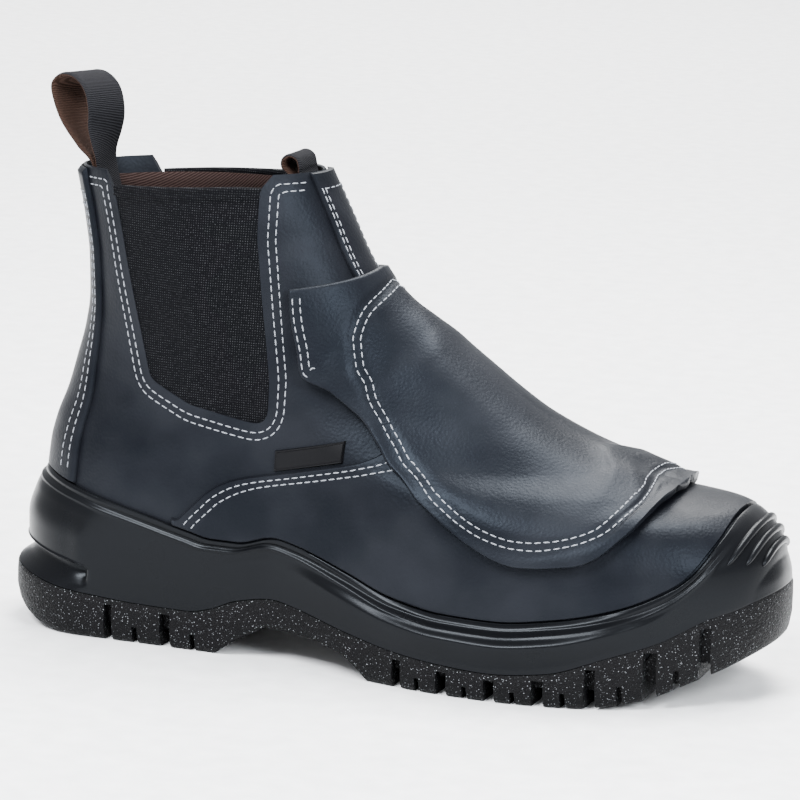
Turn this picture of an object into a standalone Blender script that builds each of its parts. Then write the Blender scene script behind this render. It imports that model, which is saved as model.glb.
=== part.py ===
"""Metatarsal guard boot: an elastic-sided safety boot for the right foot, with a padded guard over the instep.

Lengths are in metres. +X runs from heel to toe, +Y to the inner side of the foot, +Z up.
While the pieces are made, x is 0 at the back of the sole and z is 0 on the floor.
The last function moves everything so that the origin is under the middle of the boot's box.
"""

import math

import bmesh
import bpy
import numpy as np

# Driving dimensions of the last, the form that the upper is drawn over
SOLE_LENGTH = 0.304
COLLAR_RISE = 0.1440
FRONT_RISE = 0.1490
HEEL_SEAT = 0.0330
TOE_SEAT = 0.0330
BALL_DIP = 0.0150
HEEL_WIDTH = 0.071
WAIST_WIDTH = 0.074
BALL_WIDTH = 0.101
TOE_SWING = 0.010

# Driving dimensions of the sole
SOLE_WIDTH = 0.109
TOE_SHORT = 0.0022
TREAD_HEIGHT = 0.0120
RIM_THICKNESS = 0.0016
INSOLE_THICKNESS = 0.0040
HEEL_BREAST = 0.0960
LUG_DEPTH = 0.0065
FLANK_NOTCH = 0.0022
ARCH_LIFT = 0.0138
BAR_RADIUS = 0.0015

# Driving dimensions of the upper's pieces
WALL = 0.0022
OVERLAY = 0.0013
GORE_THICKNESS = 0.0015
GORE_SINK = 0.0004
BINDING_HEIGHT = 0.0055
BINDING_THICKNESS = 0.0024
GUARD_EDGE = 0.0025
GUARD_DOME = 0.0058
WEBBING_WIDTH = 0.0185
WEBBING_THICKNESS = 0.0015
FRONT_LOOP_WIDTH = 0.018
LEG_SPACE = 0.0004
HEEL_LOOP_HEIGHT = 0.0318
FRONT_LOOP_HEIGHT = 0.0072
LOOP_TAIL = 0.012
LOOP_RETURN = 0.0030
LABEL_LENGTH = 0.0285
LABEL_HEIGHT = 0.0080
LABEL_THICKNESS = 0.0011

# Clearance between pieces that meet, and between layers whose facets differ
GAP = 0.0003
OVERLAY_SEAT = 3 * GAP
GUARD_LIFT = 0.0011
GUARD_EDGE_LIFT = 0.0012

# Facets: columns round the last, rows of the upper inside the cup and above its rim
COLUMNS = 48
CUP_ROWS = 3
SHAFT_ROWS = 13

# The last as a stack of loops, from the feather line (level 0) to the collar (level 1). Places along X and the
# lengths of the rounded ends are shares of SOLE_LENGTH. Heights are shares of COLLAR_RISE at the back and of
# FRONT_RISE at the front, above the seats. Widths are shares of HEEL_WIDTH, WAIST_WIDTH and BALL_WIDTH.
LAST_COLUMNS = ("level", "back_x", "back_z", "front_x", "front_z", "dip", "heel", "waist_out", "waist_in",
                "ball_out", "ball_in", "back_round", "front_round", "front_power")
LAST = np.array((
    (0.00, 0.040, 0.000, 0.976, 0.000, 1.00, 0.90, 0.86, 0.66, 0.90, 0.86, 0.130, 0.27, 2.3),
    (0.07, 0.035, 0.055, 0.981, 0.050, 0.98, 0.98, 0.95, 0.76, 0.98, 0.95, 0.135, 0.28, 2.4),
    (0.16, 0.036, 0.125, 0.976, 0.135, 0.85, 1.00, 1.00, 0.85, 1.00, 0.97, 0.140, 0.28, 2.4),
    (0.25, 0.040, 0.195, 0.957, 0.206, 0.65, 0.99, 1.02, 0.90, 0.98, 0.95, 0.145, 0.29, 2.3),
    (0.32, 0.043, 0.258, 0.931, 0.240, 0.48, 0.97, 1.01, 0.92, 0.95, 0.92, 0.150, 0.31, 2.2),
    (0.40, 0.050, 0.320, 0.889, 0.254, 0.30, 0.95, 1.00, 0.93, 0.90, 0.87, 0.155, 0.33, 2.1),
    (0.50, 0.064, 0.400, 0.808, 0.278, 0.15, 0.92, 0.98, 0.93, 0.83, 0.80, 0.160, 0.36, 2.0),
    (0.60, 0.075, 0.485, 0.687, 0.358, 0.05, 0.90, 0.96, 0.93, 0.78, 0.76, 0.165, 0.36, 2.0),
    (0.70, 0.086, 0.575, 0.570, 0.501, 0.00, 0.90, 0.96, 0.94, 0.75, 0.74, 0.165, 0.30, 2.0),
    (0.78, 0.091, 0.660, 0.495, 0.635, 0.00, 0.91, 0.94, 0.93, 0.74, 0.73, 0.165, 0.24, 2.0),
    (0.86, 0.089, 0.765, 0.445, 0.770, 0.00, 0.89, 0.90, 0.89, 0.75, 0.74, 0.165, 0.20, 2.0),
    (0.93, 0.081, 0.875, 0.416, 0.885, 0.00, 0.86, 0.87, 0.85, 0.76, 0.75, 0.165, 0.19, 2.0),
    (1.00, 0.068, 1.000, 0.387, 1.000, 0.00, 0.84, 0.84, 0.82, 0.77, 0.76, 0.165, 0.19, 2.0),
))
HEEL_STATION, WAIST_STATION, BALL_STATION = 0.15, 0.35, 0.69

# Half widths of the sole on its outer and inner side, as shares of half of SOLE_WIDTH, along SOLE_LENGTH
PLAN_COLUMNS = ("station", "outer", "inner")
PLAN = np.array((
    (0.10, 0.70, 0.68), (0.22, 0.69, 0.66), (0.36, 0.70, 0.56), (0.50, 0.86, 0.68), (0.62, 1.01, 0.88),
    (0.70, 1.05, 0.96), (0.80, 1.02, 0.98), (0.90, 0.92, 0.94), (1.00, 0.86, 0.92),
))

# Heights along the sole: the rim of the cup above the last's seat, as a share of COLLAR_RISE; the line where
# cup and tread meet, the same surface inside the edge, and the underside, as shares of TREAD_HEIGHT.
SIDE_COLUMNS = ("station", "rim", "parting", "core", "ground")
SIDE = np.array((
    (0.00, 0.190, 1.96, 1.60, 0.86),
    (0.03, 0.189, 1.83, 1.50, 0.46),
    (0.06, 0.184, 1.70, 1.42, 0.17),
    (0.10, 0.170, 1.54, 1.35, 0.02),
    (0.15, 0.149, 1.42, 1.30, 0.00),
    (0.20, 0.125, 1.33, 1.28, 0.00),
    (0.27, 0.090, 1.30, 1.28, 0.00),
    (0.30, 0.077, 1.46, 1.43, 0.00),
    (0.335, 0.077, 1.83, 1.79, 0.00),
    (0.385, 0.101, 2.04, 1.98, 0.00),
    (0.415, 0.090, 1.92, 1.86, 0.00),
    (0.485, 0.042, 1.50, 1.44, 0.00),
    (0.55, -0.007, 1.17, 1.11, 0.00),
    (0.615, -0.028, 1.00, 0.95, 0.00),
    (0.68, -0.031, 0.92, 0.85, 0.00),
    (0.75, -0.014, 1.08, 0.92, 0.00),
    (0.82, 0.021, 1.67, 1.15, 0.08),
    (0.88, 0.077, 2.17, 1.55, 0.40),
    (0.905, 0.118, 2.50, 1.75, 0.66),
    (0.93, 0.201, 2.83, 1.95, 0.93),
    (0.945, 0.278, 2.96, 2.10, 1.08),
    (1.00, 0.292, 3.50, 2.45, 1.75),
))

# Rows down the side of the cup from rim (drop 0) to the line where the tread begins (drop 1). Out is the share
# of the way from the rim's thickness to the sole's edge.
FLANK_COLUMNS = ("heel_drop", "heel_out", "fore_drop", "fore_out", "toe_drop", "toe_out")
FLANK = np.array((
    (0.04, 0.10, 0.07, 0.30, 0.03, 0.08),
    (0.22, 0.42, 0.24, 0.95, 0.14, 0.18),
    (0.50, 0.68, 0.40, 1.45, 0.30, 0.40),
    (0.72, 0.66, 0.60, 1.30, 0.50, 0.66),
    (0.77, 0.36, 0.76, 1.15, 0.70, 0.88),
    (0.90, 0.55, 0.90, 1.02, 0.88, 0.98),
))

# Bars over the toe of the cup: half their spread as a turn, the drop at their ends and at their middle
TOE_BARS = ((0.063, 0.290, 0.150), (0.048, 0.445, 0.285), (0.033, 0.580, 0.440))

# The tread's upper surface inside its turned-up edge: inset, and the share of the way down to the core
LIP = ((0.0030, 0.80), (0.0080, 1.00))

# Gaps between the tread's lugs, as shares of SOLE_LENGTH: middle and width
LUG_GAPS = ((0.164, 0.010), (0.241, 0.013), (0.562, 0.011), (0.622, 0.013), (0.683, 0.013), (0.742, 0.014),
            (0.803, 0.012), (0.868, 0.014), (0.925, 0.012))

# The underside between heel and forefoot: x as a share of SOLE_LENGTH, height as a share of ARCH_LIFT
ARCH_LINE = ((0.336, 0.50), (0.378, 1.00), (0.416, 0.96), (0.451, 0.88), (0.486, 0.66), (0.510, 0.32),
             (0.521, 0.00))

# Outline of the elastic's cut-out seen from the side: x as a share of SOLE_LENGTH, z as a share of COLLAR_RISE
# above HEEL_SEAT, and the radius of the corner as a share of SOLE_LENGTH.
GORE_OUTLINE = ((0.048, 1.08, 0.0), (0.120, 1.036, 0.030), (0.1445, 0.940, 0.030), (0.165, 0.768, 0.2),
                (0.206, 0.480, 0.022), (0.262, 0.425, 0.06), (0.368, 0.390, 0.030), (0.3665, 0.510, 0.1),
                (0.337, 0.858, 0.10), (0.333, 0.990, 0.020), (0.347, 1.038, 0.018), (0.392, 1.10, 0.0))
GORE_TOP_BACK, GORE_TOP_FRONT = 0.966, 0.998

# Upper edge of the forefoot overlay: turn round the last and level
VAMP_EDGE = np.array(((0.156, 0.100), (0.160, 0.150), (0.168, 0.209), (0.177, 0.266), (0.189, 0.312),
                      (0.214, 0.377), (0.264, 0.487), (0.298, 0.546), (0.350, 0.628), (0.420, 0.672),
                      (0.500, 0.690)))

BACK_STAY_TURN = 0.087
FRONT_STRIP_TURN = 0.053
FRONT_STRIP_FOOT = 0.80

# The guard in rows from its top edge to its tip: turn and level of its outer edge, level on the ridge, height of
# the dome as a share of GUARD_DOME, and the width of the flat stitched band as a share of the row.
GUARD_COLUMNS = ("row", "edge_turn", "edge_level", "ridge_level", "dome", "band")
GUARD = np.array((
    (0.00, 0.344, 0.832, 0.848, 0.00, 0.60),
    (0.08, 0.332, 0.797, 0.828, 0.10, 0.58),
    (0.16, 0.315, 0.740, 0.795, 0.40, 0.50),
    (0.22, 0.300, 0.691, 0.765, 0.80, 0.44),
    (0.28, 0.313, 0.669, 0.735, 1.00, 0.26),
    (0.35, 0.316, 0.630, 0.702, 1.00, 0.16),
    (0.42, 0.305, 0.571, 0.670, 0.92, 0.14),
    (0.50, 0.293, 0.502, 0.635, 0.75, 0.14),
    (0.58, 0.290, 0.414, 0.605, 0.60, 0.15),
    (0.65, 0.294, 0.343, 0.582, 0.55, 0.16),
    (0.72, 0.305, 0.273, 0.562, 0.60, 0.17),
    (0.80, 0.325, 0.229, 0.546, 0.74, 0.19),
    (0.86, 0.350, 0.231, 0.528, 0.66, 0.22),
    (0.92, 0.385, 0.296, 0.503, 0.40, 0.26),
    (0.97, 0.430, 0.398, 0.472, 0.16, 0.32),
    (1.00, 0.470, 0.439, 0.443, 0.03, 0.50),
))

# Path of the heel loop's webbing: away from the collar and up, as shares of HEEL_LOOP_HEIGHT
HEEL_LOOP_PATH = ((0.02, 0.35), (0.03, 0.62), (-0.05, 0.85), (-0.24, 0.985), (-0.47, 0.99), (-0.63, 0.86),
                  (-0.57, 0.64), (-0.38, 0.38), (-0.18, 0.17))
HEEL_LOOP_TWIST = math.radians(24)
FRONT_LOOP_PATH = ((0.04, 0.45), (-0.10, 0.85), (-0.48, 1.02), (-0.86, 0.82), (-0.90, 0.44), (-0.62, 0.13),
                   (-0.32, -0.14))

LEATHER = ((0.021, 0.024, 0.031), 0.48)
ELASTIC = ((0.012, 0.012, 0.013), 0.85)
CUP = ((0.015, 0.016, 0.019), 0.42)
RUBBER = ((0.018, 0.018, 0.019), 0.70)
TEXTILE = ((0.016, 0.015, 0.015), 0.80)
FOOTBED = ((0.050, 0.040, 0.033), 0.85)


def ease(value, start, end):
    """0 before start, 1 after end, and a smooth step between."""
    share = np.clip((value - start) / (end - start), 0, 1)
    return share * share * (3 - 2 * share)


def smooth(knots, values, at):
    """A cubic curve through the knots that never swings past them."""
    knots, values, at = (np.asarray(one, float) for one in (knots, values, at))
    step = np.diff(knots)
    slope = np.diff(values) / step
    total = slope[1:] + slope[:-1]
    inner = np.where(slope[1:] * slope[:-1] > 0, 2 * slope[1:] * slope[:-1] / np.where(total == 0, 1, total), 0)
    tangent = np.concatenate([slope[:1], inner, slope[-1:]])
    at = np.clip(at, knots[0], knots[-1])
    i = np.clip(np.searchsorted(knots, at, "right") - 1, 0, len(step) - 1)
    s = (at - knots[i]) / step[i]
    ends = (1 + 2 * s) * (1 - s) ** 2 * values[i] + s * s * (3 - 2 * s) * values[i + 1]
    return ends + s * (1 - s) * step[i] * ((1 - s) * tangent[i] - s * tangent[i + 1])


def column(table, names, name, at):
    """A named column of a table, read at a value of its first column."""
    return smooth(table[:, 0], table[:, names.index(name)], at)


def last_row(level):
    """Every column of the last's table at a level."""
    return {name: column(LAST, LAST_COLUMNS, name, level) for name in LAST_COLUMNS[1:]}


def round_end(distance, length, power):
    """Width of a rounded end, from 0 at its tip to 1 where it has run its length."""
    left = 1 - np.clip(distance / length, 0, 1)
    return np.maximum(1 - left ** power, 0) ** (1 / power)


def centre_line(x):
    """Sideways place of the foot's middle, which swings inward towards the toe."""
    return TOE_SWING * ease(x, 0.45 * SOLE_LENGTH, SOLE_LENGTH)


def loop_height(x, row):
    """Height of a loop of the last at x."""
    share = (x - row["back_x"] * SOLE_LENGTH) / ((row["front_x"] - row["back_x"]) * SOLE_LENGTH)
    back = HEEL_SEAT + row["back_z"] * COLLAR_RISE
    front = TOE_SEAT + row["front_z"] * FRONT_RISE
    under_ball = (ease(x, 0.22 * SOLE_LENGTH, 0.60 * SOLE_LENGTH)
                  * (1 - ease(x, 0.72 * SOLE_LENGTH, 1.02 * SOLE_LENGTH)))
    return back + (front - back) * share - BALL_DIP * row["dip"] * under_ball


def half_width(x, row, side):
    """Half width of a loop at x, before its ends are rounded."""
    share = x / SOLE_LENGTH
    waist = np.where(side < 0, row["waist_out"], row["waist_in"]) * WAIST_WIDTH / 2
    ball = np.where(side < 0, row["ball_out"], row["ball_in"]) * BALL_WIDTH / 2
    heel = row["heel"] * HEEL_WIDTH / 2
    return (heel + (waist - heel) * ease(share, HEEL_STATION, WAIST_STATION)
            + (ball - waist) * ease(share, WAIST_STATION, BALL_STATION))


def side_and_run(turn):
    """Side of a turn, -1 outer and 1 inner, and how far it has run from heel (0) to toe (1)."""
    turn = np.asarray(turn, float) % 1.0
    half = np.where(turn < 0.5, turn, 1 - turn)
    return np.where(turn < 0.5, -1.0, 1.0), (1 - np.cos(2 * math.pi * half)) / 2


def last_point(turn, level):
    """Point of the last. Turn is 0 at the heel and 0.5 at the toe, outer side first; level runs up."""
    turn, level = np.broadcast_arrays(np.asarray(turn, float), np.asarray(level, float))
    row = last_row(level)
    side, run = side_and_run(turn)
    back, front = row["back_x"] * SOLE_LENGTH, row["front_x"] * SOLE_LENGTH
    x = back + (front - back) * run
    ends = (round_end(x - back, row["back_round"] * SOLE_LENGTH, 2.0)
            * round_end(front - x, row["front_round"] * SOLE_LENGTH, row["front_power"]))
    return np.stack([x, centre_line(x) + side * half_width(x, row, side) * ends, loop_height(x, row)], -1)


def last_normal(turn, level, step=1e-4):
    """Outward unit normal of the last."""
    level = np.clip(level, step, 1 - step)
    around = last_point(turn + step, level) - last_point(turn - step, level)
    up = last_point(turn, level + step) - last_point(turn, level - step)
    normal = np.cross(around, up)
    return normal / np.linalg.norm(normal, axis=-1, keepdims=True)


def skin(turn, level, offset):
    """Point at a distance outside the last."""
    turn, level, offset = np.broadcast_arrays(*(np.asarray(one, float) for one in (turn, level, offset)))
    return last_point(turn, level) + last_normal(turn, level) * offset[..., None]


def solve_level(below, shape, top=1.0):
    """Level at which a test turns from true to false, by halving."""
    low, high = np.zeros(shape), np.full(shape, top)
    for _ in range(36):
        middle = (low + high) / 2
        under = below(middle)
        low, high = np.where(under, middle, low), np.where(under, high, middle)
    return low


def place(x, z, side):
    """Turn and level of the last at a point of its side view."""
    x, z = np.broadcast_arrays(np.asarray(x, float), np.asarray(z, float))
    level = solve_level(lambda middle: loop_height(x, last_row(middle)) < z, x.shape)
    row = last_row(level)
    share = (x / SOLE_LENGTH - row["back_x"]) / (row["front_x"] - row["back_x"])
    half = np.arccos(1 - 2 * np.clip(share, 0, 1)) / (2 * math.pi)
    return np.where(side < 0, half, 1 - half), level


def level_at_height(turn, height):
    """Level of the last's column at a height, 0 where the height lies under the feather line."""
    return solve_level(lambda middle: last_point(turn, middle)[..., 2] < height, np.shape(turn))


def floor_height(x):
    """Height of the last's underside at x."""
    return loop_height(x, last_row(0.0))


def rim_height(x):
    """Height of the cup's rim at x."""
    return HEEL_SEAT + COLLAR_RISE * column(SIDE, SIDE_COLUMNS, "rim", x / SOLE_LENGTH)


def rim_level(turn):
    """Level of the last where the cup's rim crosses its column."""
    def below(middle):
        point = last_point(turn, middle)
        return point[..., 2] < rim_height(point[..., 0])
    return solve_level(below, np.shape(turn), 0.6)


def sole_edge(turn, inset=0.0):
    """Plan of the sole's edge: x, y, and its outward direction there. Its toe ends TOE_SHORT before SOLE_LENGTH."""
    def outline(at):
        side, run = side_and_run(at)
        width = np.where(side < 0, column(PLAN, PLAN_COLUMNS, "outer", run),
                         column(PLAN, PLAN_COLUMNS, "inner", run)) * SOLE_WIDTH / 2
        x = SOLE_LENGTH * run - TOE_SHORT * ease(run, 0.80, 1.0)
        ends = (round_end(SOLE_LENGTH * run, 0.13 * SOLE_LENGTH, 2.2)
                * round_end(SOLE_LENGTH * (1 - run), 0.27 * SOLE_LENGTH, 2.3))
        return np.stack([x, centre_line(x) + side * width * ends], -1)
    point = outline(turn)
    along = outline(turn + 1e-4) - outline(turn - 1e-4)
    outward = np.stack([along[..., 1], -along[..., 0]], -1)
    outward /= np.linalg.norm(outward, axis=-1, keepdims=True)
    return point - outward * inset, outward


def sole_height(name, turn):
    """A height of the sole's side table at a turn."""
    return TREAD_HEIGHT * column(SIDE, SIDE_COLUMNS, name, side_and_run(turn)[1])


def turns(count=COLUMNS, start=0.0, end=1.0):
    """Evenly spaced turns round the last, without the last one of a full ring."""
    return start + (end - start) * np.arange(count) / count


def rings_mesh(rings):
    """Vertices and faces of a closed solid from rings of equal length; its first and last ring are capped
    with strips that cross from one side of the foot to the other."""
    count = len(rings[0])
    points = np.concatenate(rings)
    faces = []
    for k in range(len(rings) - 1):
        for j in range(count):
            n = (j + 1) % count
            faces.append((k * count + j, k * count + n, (k + 1) * count + n, (k + 1) * count + j))
    for start, flip in ((0, True), ((len(rings) - 1) * count, False)):
        for j in range(count // 2):
            strip = [start + j, start + (j + 1), start + (count - j - 1), start + (count - j) % count]
            strip = list(dict.fromkeys(strip))
            faces.append(tuple(reversed(strip)) if flip else tuple(strip))
    return points, faces


def slab_mesh(outer, inner):
    """Vertices and faces of a closed solid between two grids of points, outer and inner."""
    rows, cols = outer.shape[:2]
    points = np.concatenate([outer.reshape(-1, 3), inner.reshape(-1, 3)])
    back = rows * cols
    faces = []
    for i in range(rows - 1):
        for j in range(cols - 1):
            a, b = i * cols + j, (i + 1) * cols + j
            faces.append((a, a + 1, b + 1, b))
            faces.append((back + a, back + b, back + b + 1, back + a + 1))
    rim = ([(0, j) for j in range(cols - 1)] + [(i, cols - 1) for i in range(rows - 1)]
           + [(rows - 1, j) for j in range(cols - 1, 0, -1)] + [(i, 0) for i in range(rows - 1, 0, -1)])
    for k, (i, j) in enumerate(rim):
        n, m = rim[(k + 1) % len(rim)]
        a, b = i * cols + j, n * cols + m
        faces.append((b, a, back + a, back + b))
    return points, faces


def make_object(name, points, faces, finish=None, cutter=False):
    """A mesh object with outward faces, shaded smooth, in the boot's or the cutters' collection."""
    mesh = bpy.data.meshes.new(name)
    mesh.from_pydata([tuple(map(float, point)) for point in points], [], faces)
    shape = bmesh.new()
    shape.from_mesh(mesh)
    bmesh.ops.recalc_face_normals(shape, faces=shape.faces)
    shape.to_mesh(mesh)
    shape.free()
    mesh.shade_smooth()
    mesh.set_sharp_from_angle(angle=math.radians(35))
    thing = bpy.data.objects.new(name, mesh)
    group = "cutters" if cutter else "metatarsal_guard_boot"
    bpy.data.collections[group].objects.link(thing)
    if cutter:
        thing.hide_render = True
        thing.display_type = "WIRE"
    if finish:
        mesh.materials.append(make_material(name, *finish))
    return thing


def make_material(name, colour, roughness):
    """A plain material with a colour and a roughness."""
    material = bpy.data.materials.new(name)
    material.use_nodes = True
    shader = material.node_tree.nodes["Principled BSDF"]
    shader.inputs["Base Color"].default_value = (*colour, 1.0)
    shader.inputs["Roughness"].default_value = roughness
    shader.inputs["Metallic"].default_value = 0.0
    return material


def boolean(thing, cutter, operation):
    """Cuts, joins or crosses a solid with another one."""
    modifier = thing.modifiers.new(cutter.name, "BOOLEAN")
    modifier.operation = operation
    modifier.solver = "EXACT"
    modifier.object = cutter


def rounded(corners, steps=5):
    """A closed outline through corners with a radius each."""
    corners = [(np.array(corner[:2], float), corner[2]) for corner in corners]
    outline = []
    for k, (corner, radius) in enumerate(corners):
        before, after = corners[k - 1][0] - corner, corners[(k + 1) % len(corners)][0] - corner
        reach = 0.45 * min(np.linalg.norm(before), np.linalg.norm(after))
        unit = [side / np.linalg.norm(side) for side in (before, after)]
        if radius == 0.0:
            outline.append(corner)
            continue
        half = math.acos(np.clip(unit[0] @ unit[1], -1, 1)) / 2
        reach = min(reach, radius / max(math.tan(half), 1e-6))
        for step in range(steps + 1):
            s = step / steps
            outline.append(corner + unit[0] * reach * (1 - s) ** 2 + unit[1] * reach * s * s)
    return np.array(outline)


def prism(name, outline, low_y, high_y):
    """A cutter: an outline of the side view pushed across from low_y to high_y."""
    count = len(outline)
    points = [(x, y, z) for y in (low_y, high_y) for x, z in outline]
    faces = [tuple(range(count)), tuple(range(2 * count - 1, count - 1, -1))]
    faces += [(j, (j + 1) % count, count + (j + 1) % count, count + j) for j in range(count)]
    return make_object(name, points, faces, cutter=True)


def shrink(outline, distance):
    """The outline moved inwards by a distance."""
    before, after = np.roll(outline, 1, 0), np.roll(outline, -1, 0)
    along = after - before
    normal = np.stack([-along[:, 1], along[:, 0]], -1)
    normal /= np.linalg.norm(normal, axis=1, keepdims=True)
    area = np.sum(outline[:, 0] * after[:, 1] - after[:, 0] * outline[:, 1])
    return outline + normal * distance * np.sign(area)


def gore_outline():
    """Outline of the elastic's cut-out in the side view, in metres."""
    return rounded([(x * SOLE_LENGTH, HEEL_SEAT + z * COLLAR_RISE, radius * SOLE_LENGTH)
                    for x, z, radius in GORE_OUTLINE])


def upper_levels(at):
    """Levels of the upper's rows at each turn: some under the cup's rim, the rest up to the collar."""
    rim = rim_level(at)[None, :]
    inside = rim * np.linspace(0, 1, CUP_ROWS + 1)[:, None]
    above = rim + (1 - rim) * np.linspace(0, 1, SHAFT_ROWS + 1)[1:, None]
    return np.concatenate([inside, above])


def make_upper():
    """The leather upper: a wall drawn over the last, open at the collar, the elastics and underneath."""
    at = turns()
    levels = upper_levels(at)
    grid = last_point(at[None, :], levels)
    rows, count = levels.shape
    faces = [(i * count + j, i * count + (j + 1) % count, (i + 1) * count + (j + 1) % count, (i + 1) * count + j)
             for i in range(rows - 1) for j in range(count)]
    upper = make_object("upper", grid.reshape(-1, 3), faces, LEATHER)
    wall = upper.modifiers.new("wall", "SOLIDIFY")
    wall.thickness = WALL
    wall.offset = -1.0
    wall.use_even_offset = True
    boolean(upper, prism("gore_cut", gore_outline(), -SOLE_WIDTH, SOLE_WIDTH), "DIFFERENCE")
    return upper


def make_gores():
    """The two elastic gores and the folded bands along their top edges."""
    level = np.linspace(0.48, 0.9999, 11)[:, None]
    top = shrink(gore_outline(), GAP)
    left, right = top[:, 0].min(), top[:, 0].max()
    line = [HEEL_SEAT + share * COLLAR_RISE for share in (GORE_TOP_BACK, GORE_TOP_FRONT)]
    high = HEEL_SEAT + 1.3 * COLLAR_RISE
    for name, first, last, low_y, high_y in (("lateral", 0.13, 0.38, -SOLE_WIDTH, 0.0),
                                             ("medial", 0.62, 0.87, 0.0, SOLE_WIDTH)):
        at = np.linspace(first, last, 11)[None, :]
        gore = make_object("gore_" + name, *slab_mesh(skin(at, level, -GORE_SINK),
                                                      skin(at, level, -GORE_SINK - GORE_THICKNESS)), ELASTIC)
        boolean(gore, prism("gore_shape_" + name, top, low_y, high_y), "INTERSECT")
        under = [(left, line[0] - BINDING_HEIGHT - GAP), (right, line[1] - BINDING_HEIGHT - GAP),
                 (right, high), (left, high)]
        boolean(gore, prism("gore_top_" + name, np.array(under), low_y, high_y), "DIFFERENCE")
        upper_level = np.linspace(0.93, 0.9999, 3)[:, None]
        outside = (BINDING_THICKNESS - GORE_THICKNESS) / 2 - GORE_SINK
        band = make_object("gore_band_" + name, *slab_mesh(skin(at, upper_level, outside),
                                                           skin(at, upper_level, outside - BINDING_THICKNESS)),
                           ELASTIC)
        strip = np.array([(left, line[0] - BINDING_HEIGHT), (right, line[1] - BINDING_HEIGHT),
                          (right, line[1]), (left, line[0])])
        boolean(band, prism("band_height_" + name, strip, low_y, high_y), "INTERSECT")
        boolean(band, prism("band_ends_" + name, top, low_y, high_y), "INTERSECT")


def overlay(name, at, low, high):
    """A layer of leather over the upper between two levels. Its rows are the upper's, cut off at its edges."""
    level = np.clip(upper_levels(at), low, high)
    layer = make_object(name, *slab_mesh(skin(at[None, :], level, OVERLAY_SEAT + OVERLAY),
                                         skin(at[None, :], level, OVERLAY_SEAT)), LEATHER)
    shape = bmesh.new()
    shape.from_mesh(layer.data)
    bmesh.ops.remove_doubles(shape, verts=shape.verts, dist=0.00001)
    shape.to_mesh(layer.data)
    shape.free()
    return layer


def columns_between(start, end):
    """The upper's own turns between two turns, with the two ends."""
    own = np.arange(math.ceil(start * COLUMNS + 0.3), math.floor(end * COLUMNS - 0.3) + 1) / COLUMNS
    return np.concatenate([[start], own, [end]])


def above_rim(at):
    """Level a clearance above the cup's rim, wider at the toe, where the cup's lip stands up."""
    return rim_level(at) + (3 + 3 * ease(side_and_run(at)[1], 0.85, 0.95)) * GAP / COLLAR_RISE


def make_overlays():
    """The forefoot leather, the back stay and the strip down the front of the shaft."""
    at = columns_between(VAMP_EDGE[0, 0], 1 - VAMP_EDGE[0, 0])
    low = above_rim(at)
    edge = smooth(VAMP_EDGE[:, 0], VAMP_EDGE[:, 1], np.minimum(at, 1 - at))
    overlay("vamp", at, low, np.maximum(edge, low + 0.02))
    at = columns_between(-BACK_STAY_TURN, BACK_STAY_TURN)
    overlay("back_stay", at, above_rim(at), 1 - GAP / COLLAR_RISE)
    at = columns_between(0.5 - FRONT_STRIP_TURN, 0.5 + FRONT_STRIP_TURN)
    overlay("front_strip", at, FRONT_STRIP_FOOT, 1 - GAP / COLLAR_RISE)


def guard_layer(share, row):
    """Turn, level and the heights of the guard's two faces, share 0 at its outer edge and 1 on the ridge."""
    edge_turn = column(GUARD, GUARD_COLUMNS, "edge_turn", row)
    edge_level = column(GUARD, GUARD_COLUMNS, "edge_level", row)
    ridge_level = column(GUARD, GUARD_COLUMNS, "ridge_level", row)
    band = column(GUARD, GUARD_COLUMNS, "band", row)
    turn = edge_turn + (0.5 - edge_turn) * share
    climb = 1 - (1 - share) ** (1 + 0.9 * ease(row, 0.55, 0.85))
    level = edge_level + (ridge_level - edge_level) * climb
    dome = GUARD_DOME * column(GUARD, GUARD_COLUMNS, "dome", row) * ease(share, band, band + 0.50)
    seat = OVERLAY_SEAT + OVERLAY + GUARD_LIFT + GUARD_EDGE_LIFT * ease(row, 0.45, 0.80) * (1 - share)
    return turn, level, seat, seat + GUARD_EDGE + dome, dome


def make_guard():
    """The metatarsal guard: a padded dome with a thin stitched edge that lies over the instep."""
    row = 1 - (1 - np.linspace(0, 1, 18)[:, None]) ** 1.35
    half = np.linspace(0, 1, 9)
    share = np.concatenate([half, half[-2::-1]])[None, :]
    turn, level, seat, top, dome = guard_layer(share, row)
    mirrored = np.arange(share.size)[None, :] > half.size - 1
    turn = np.where(mirrored, 1 - turn, turn)
    outer = skin(turn, level, top)
    inner = skin(turn, level, seat + 0.35 * dome)
    return make_object("metatarsal_guard", *slab_mesh(outer, inner), LEATHER)


def make_label():
    """The plain side label, which sits on the quarter just above the forefoot seam."""
    x0 = 0.380 * SOLE_LENGTH
    x = np.linspace(x0, x0 + LABEL_LENGTH * math.cos(math.radians(16)), 8)[None, :]
    seam_turn = np.linspace(0.19, 0.30, 40)
    seam_level = smooth(VAMP_EDGE[:, 0], VAMP_EDGE[:, 1], seam_turn)
    seam = last_point(seam_turn, seam_level)
    foot = np.interp(x, seam[:, 0], seam[:, 2]) + 3 * GAP
    z = foot + np.linspace(0, LABEL_HEIGHT, 4)[:, None]
    turn, level = place(np.broadcast_to(x, z.shape), z, -1)
    return make_object("side_label", *slab_mesh(skin(turn, level, GAP + LABEL_THICKNESS),
                                                skin(turn, level, GAP)), RUBBER)


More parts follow.
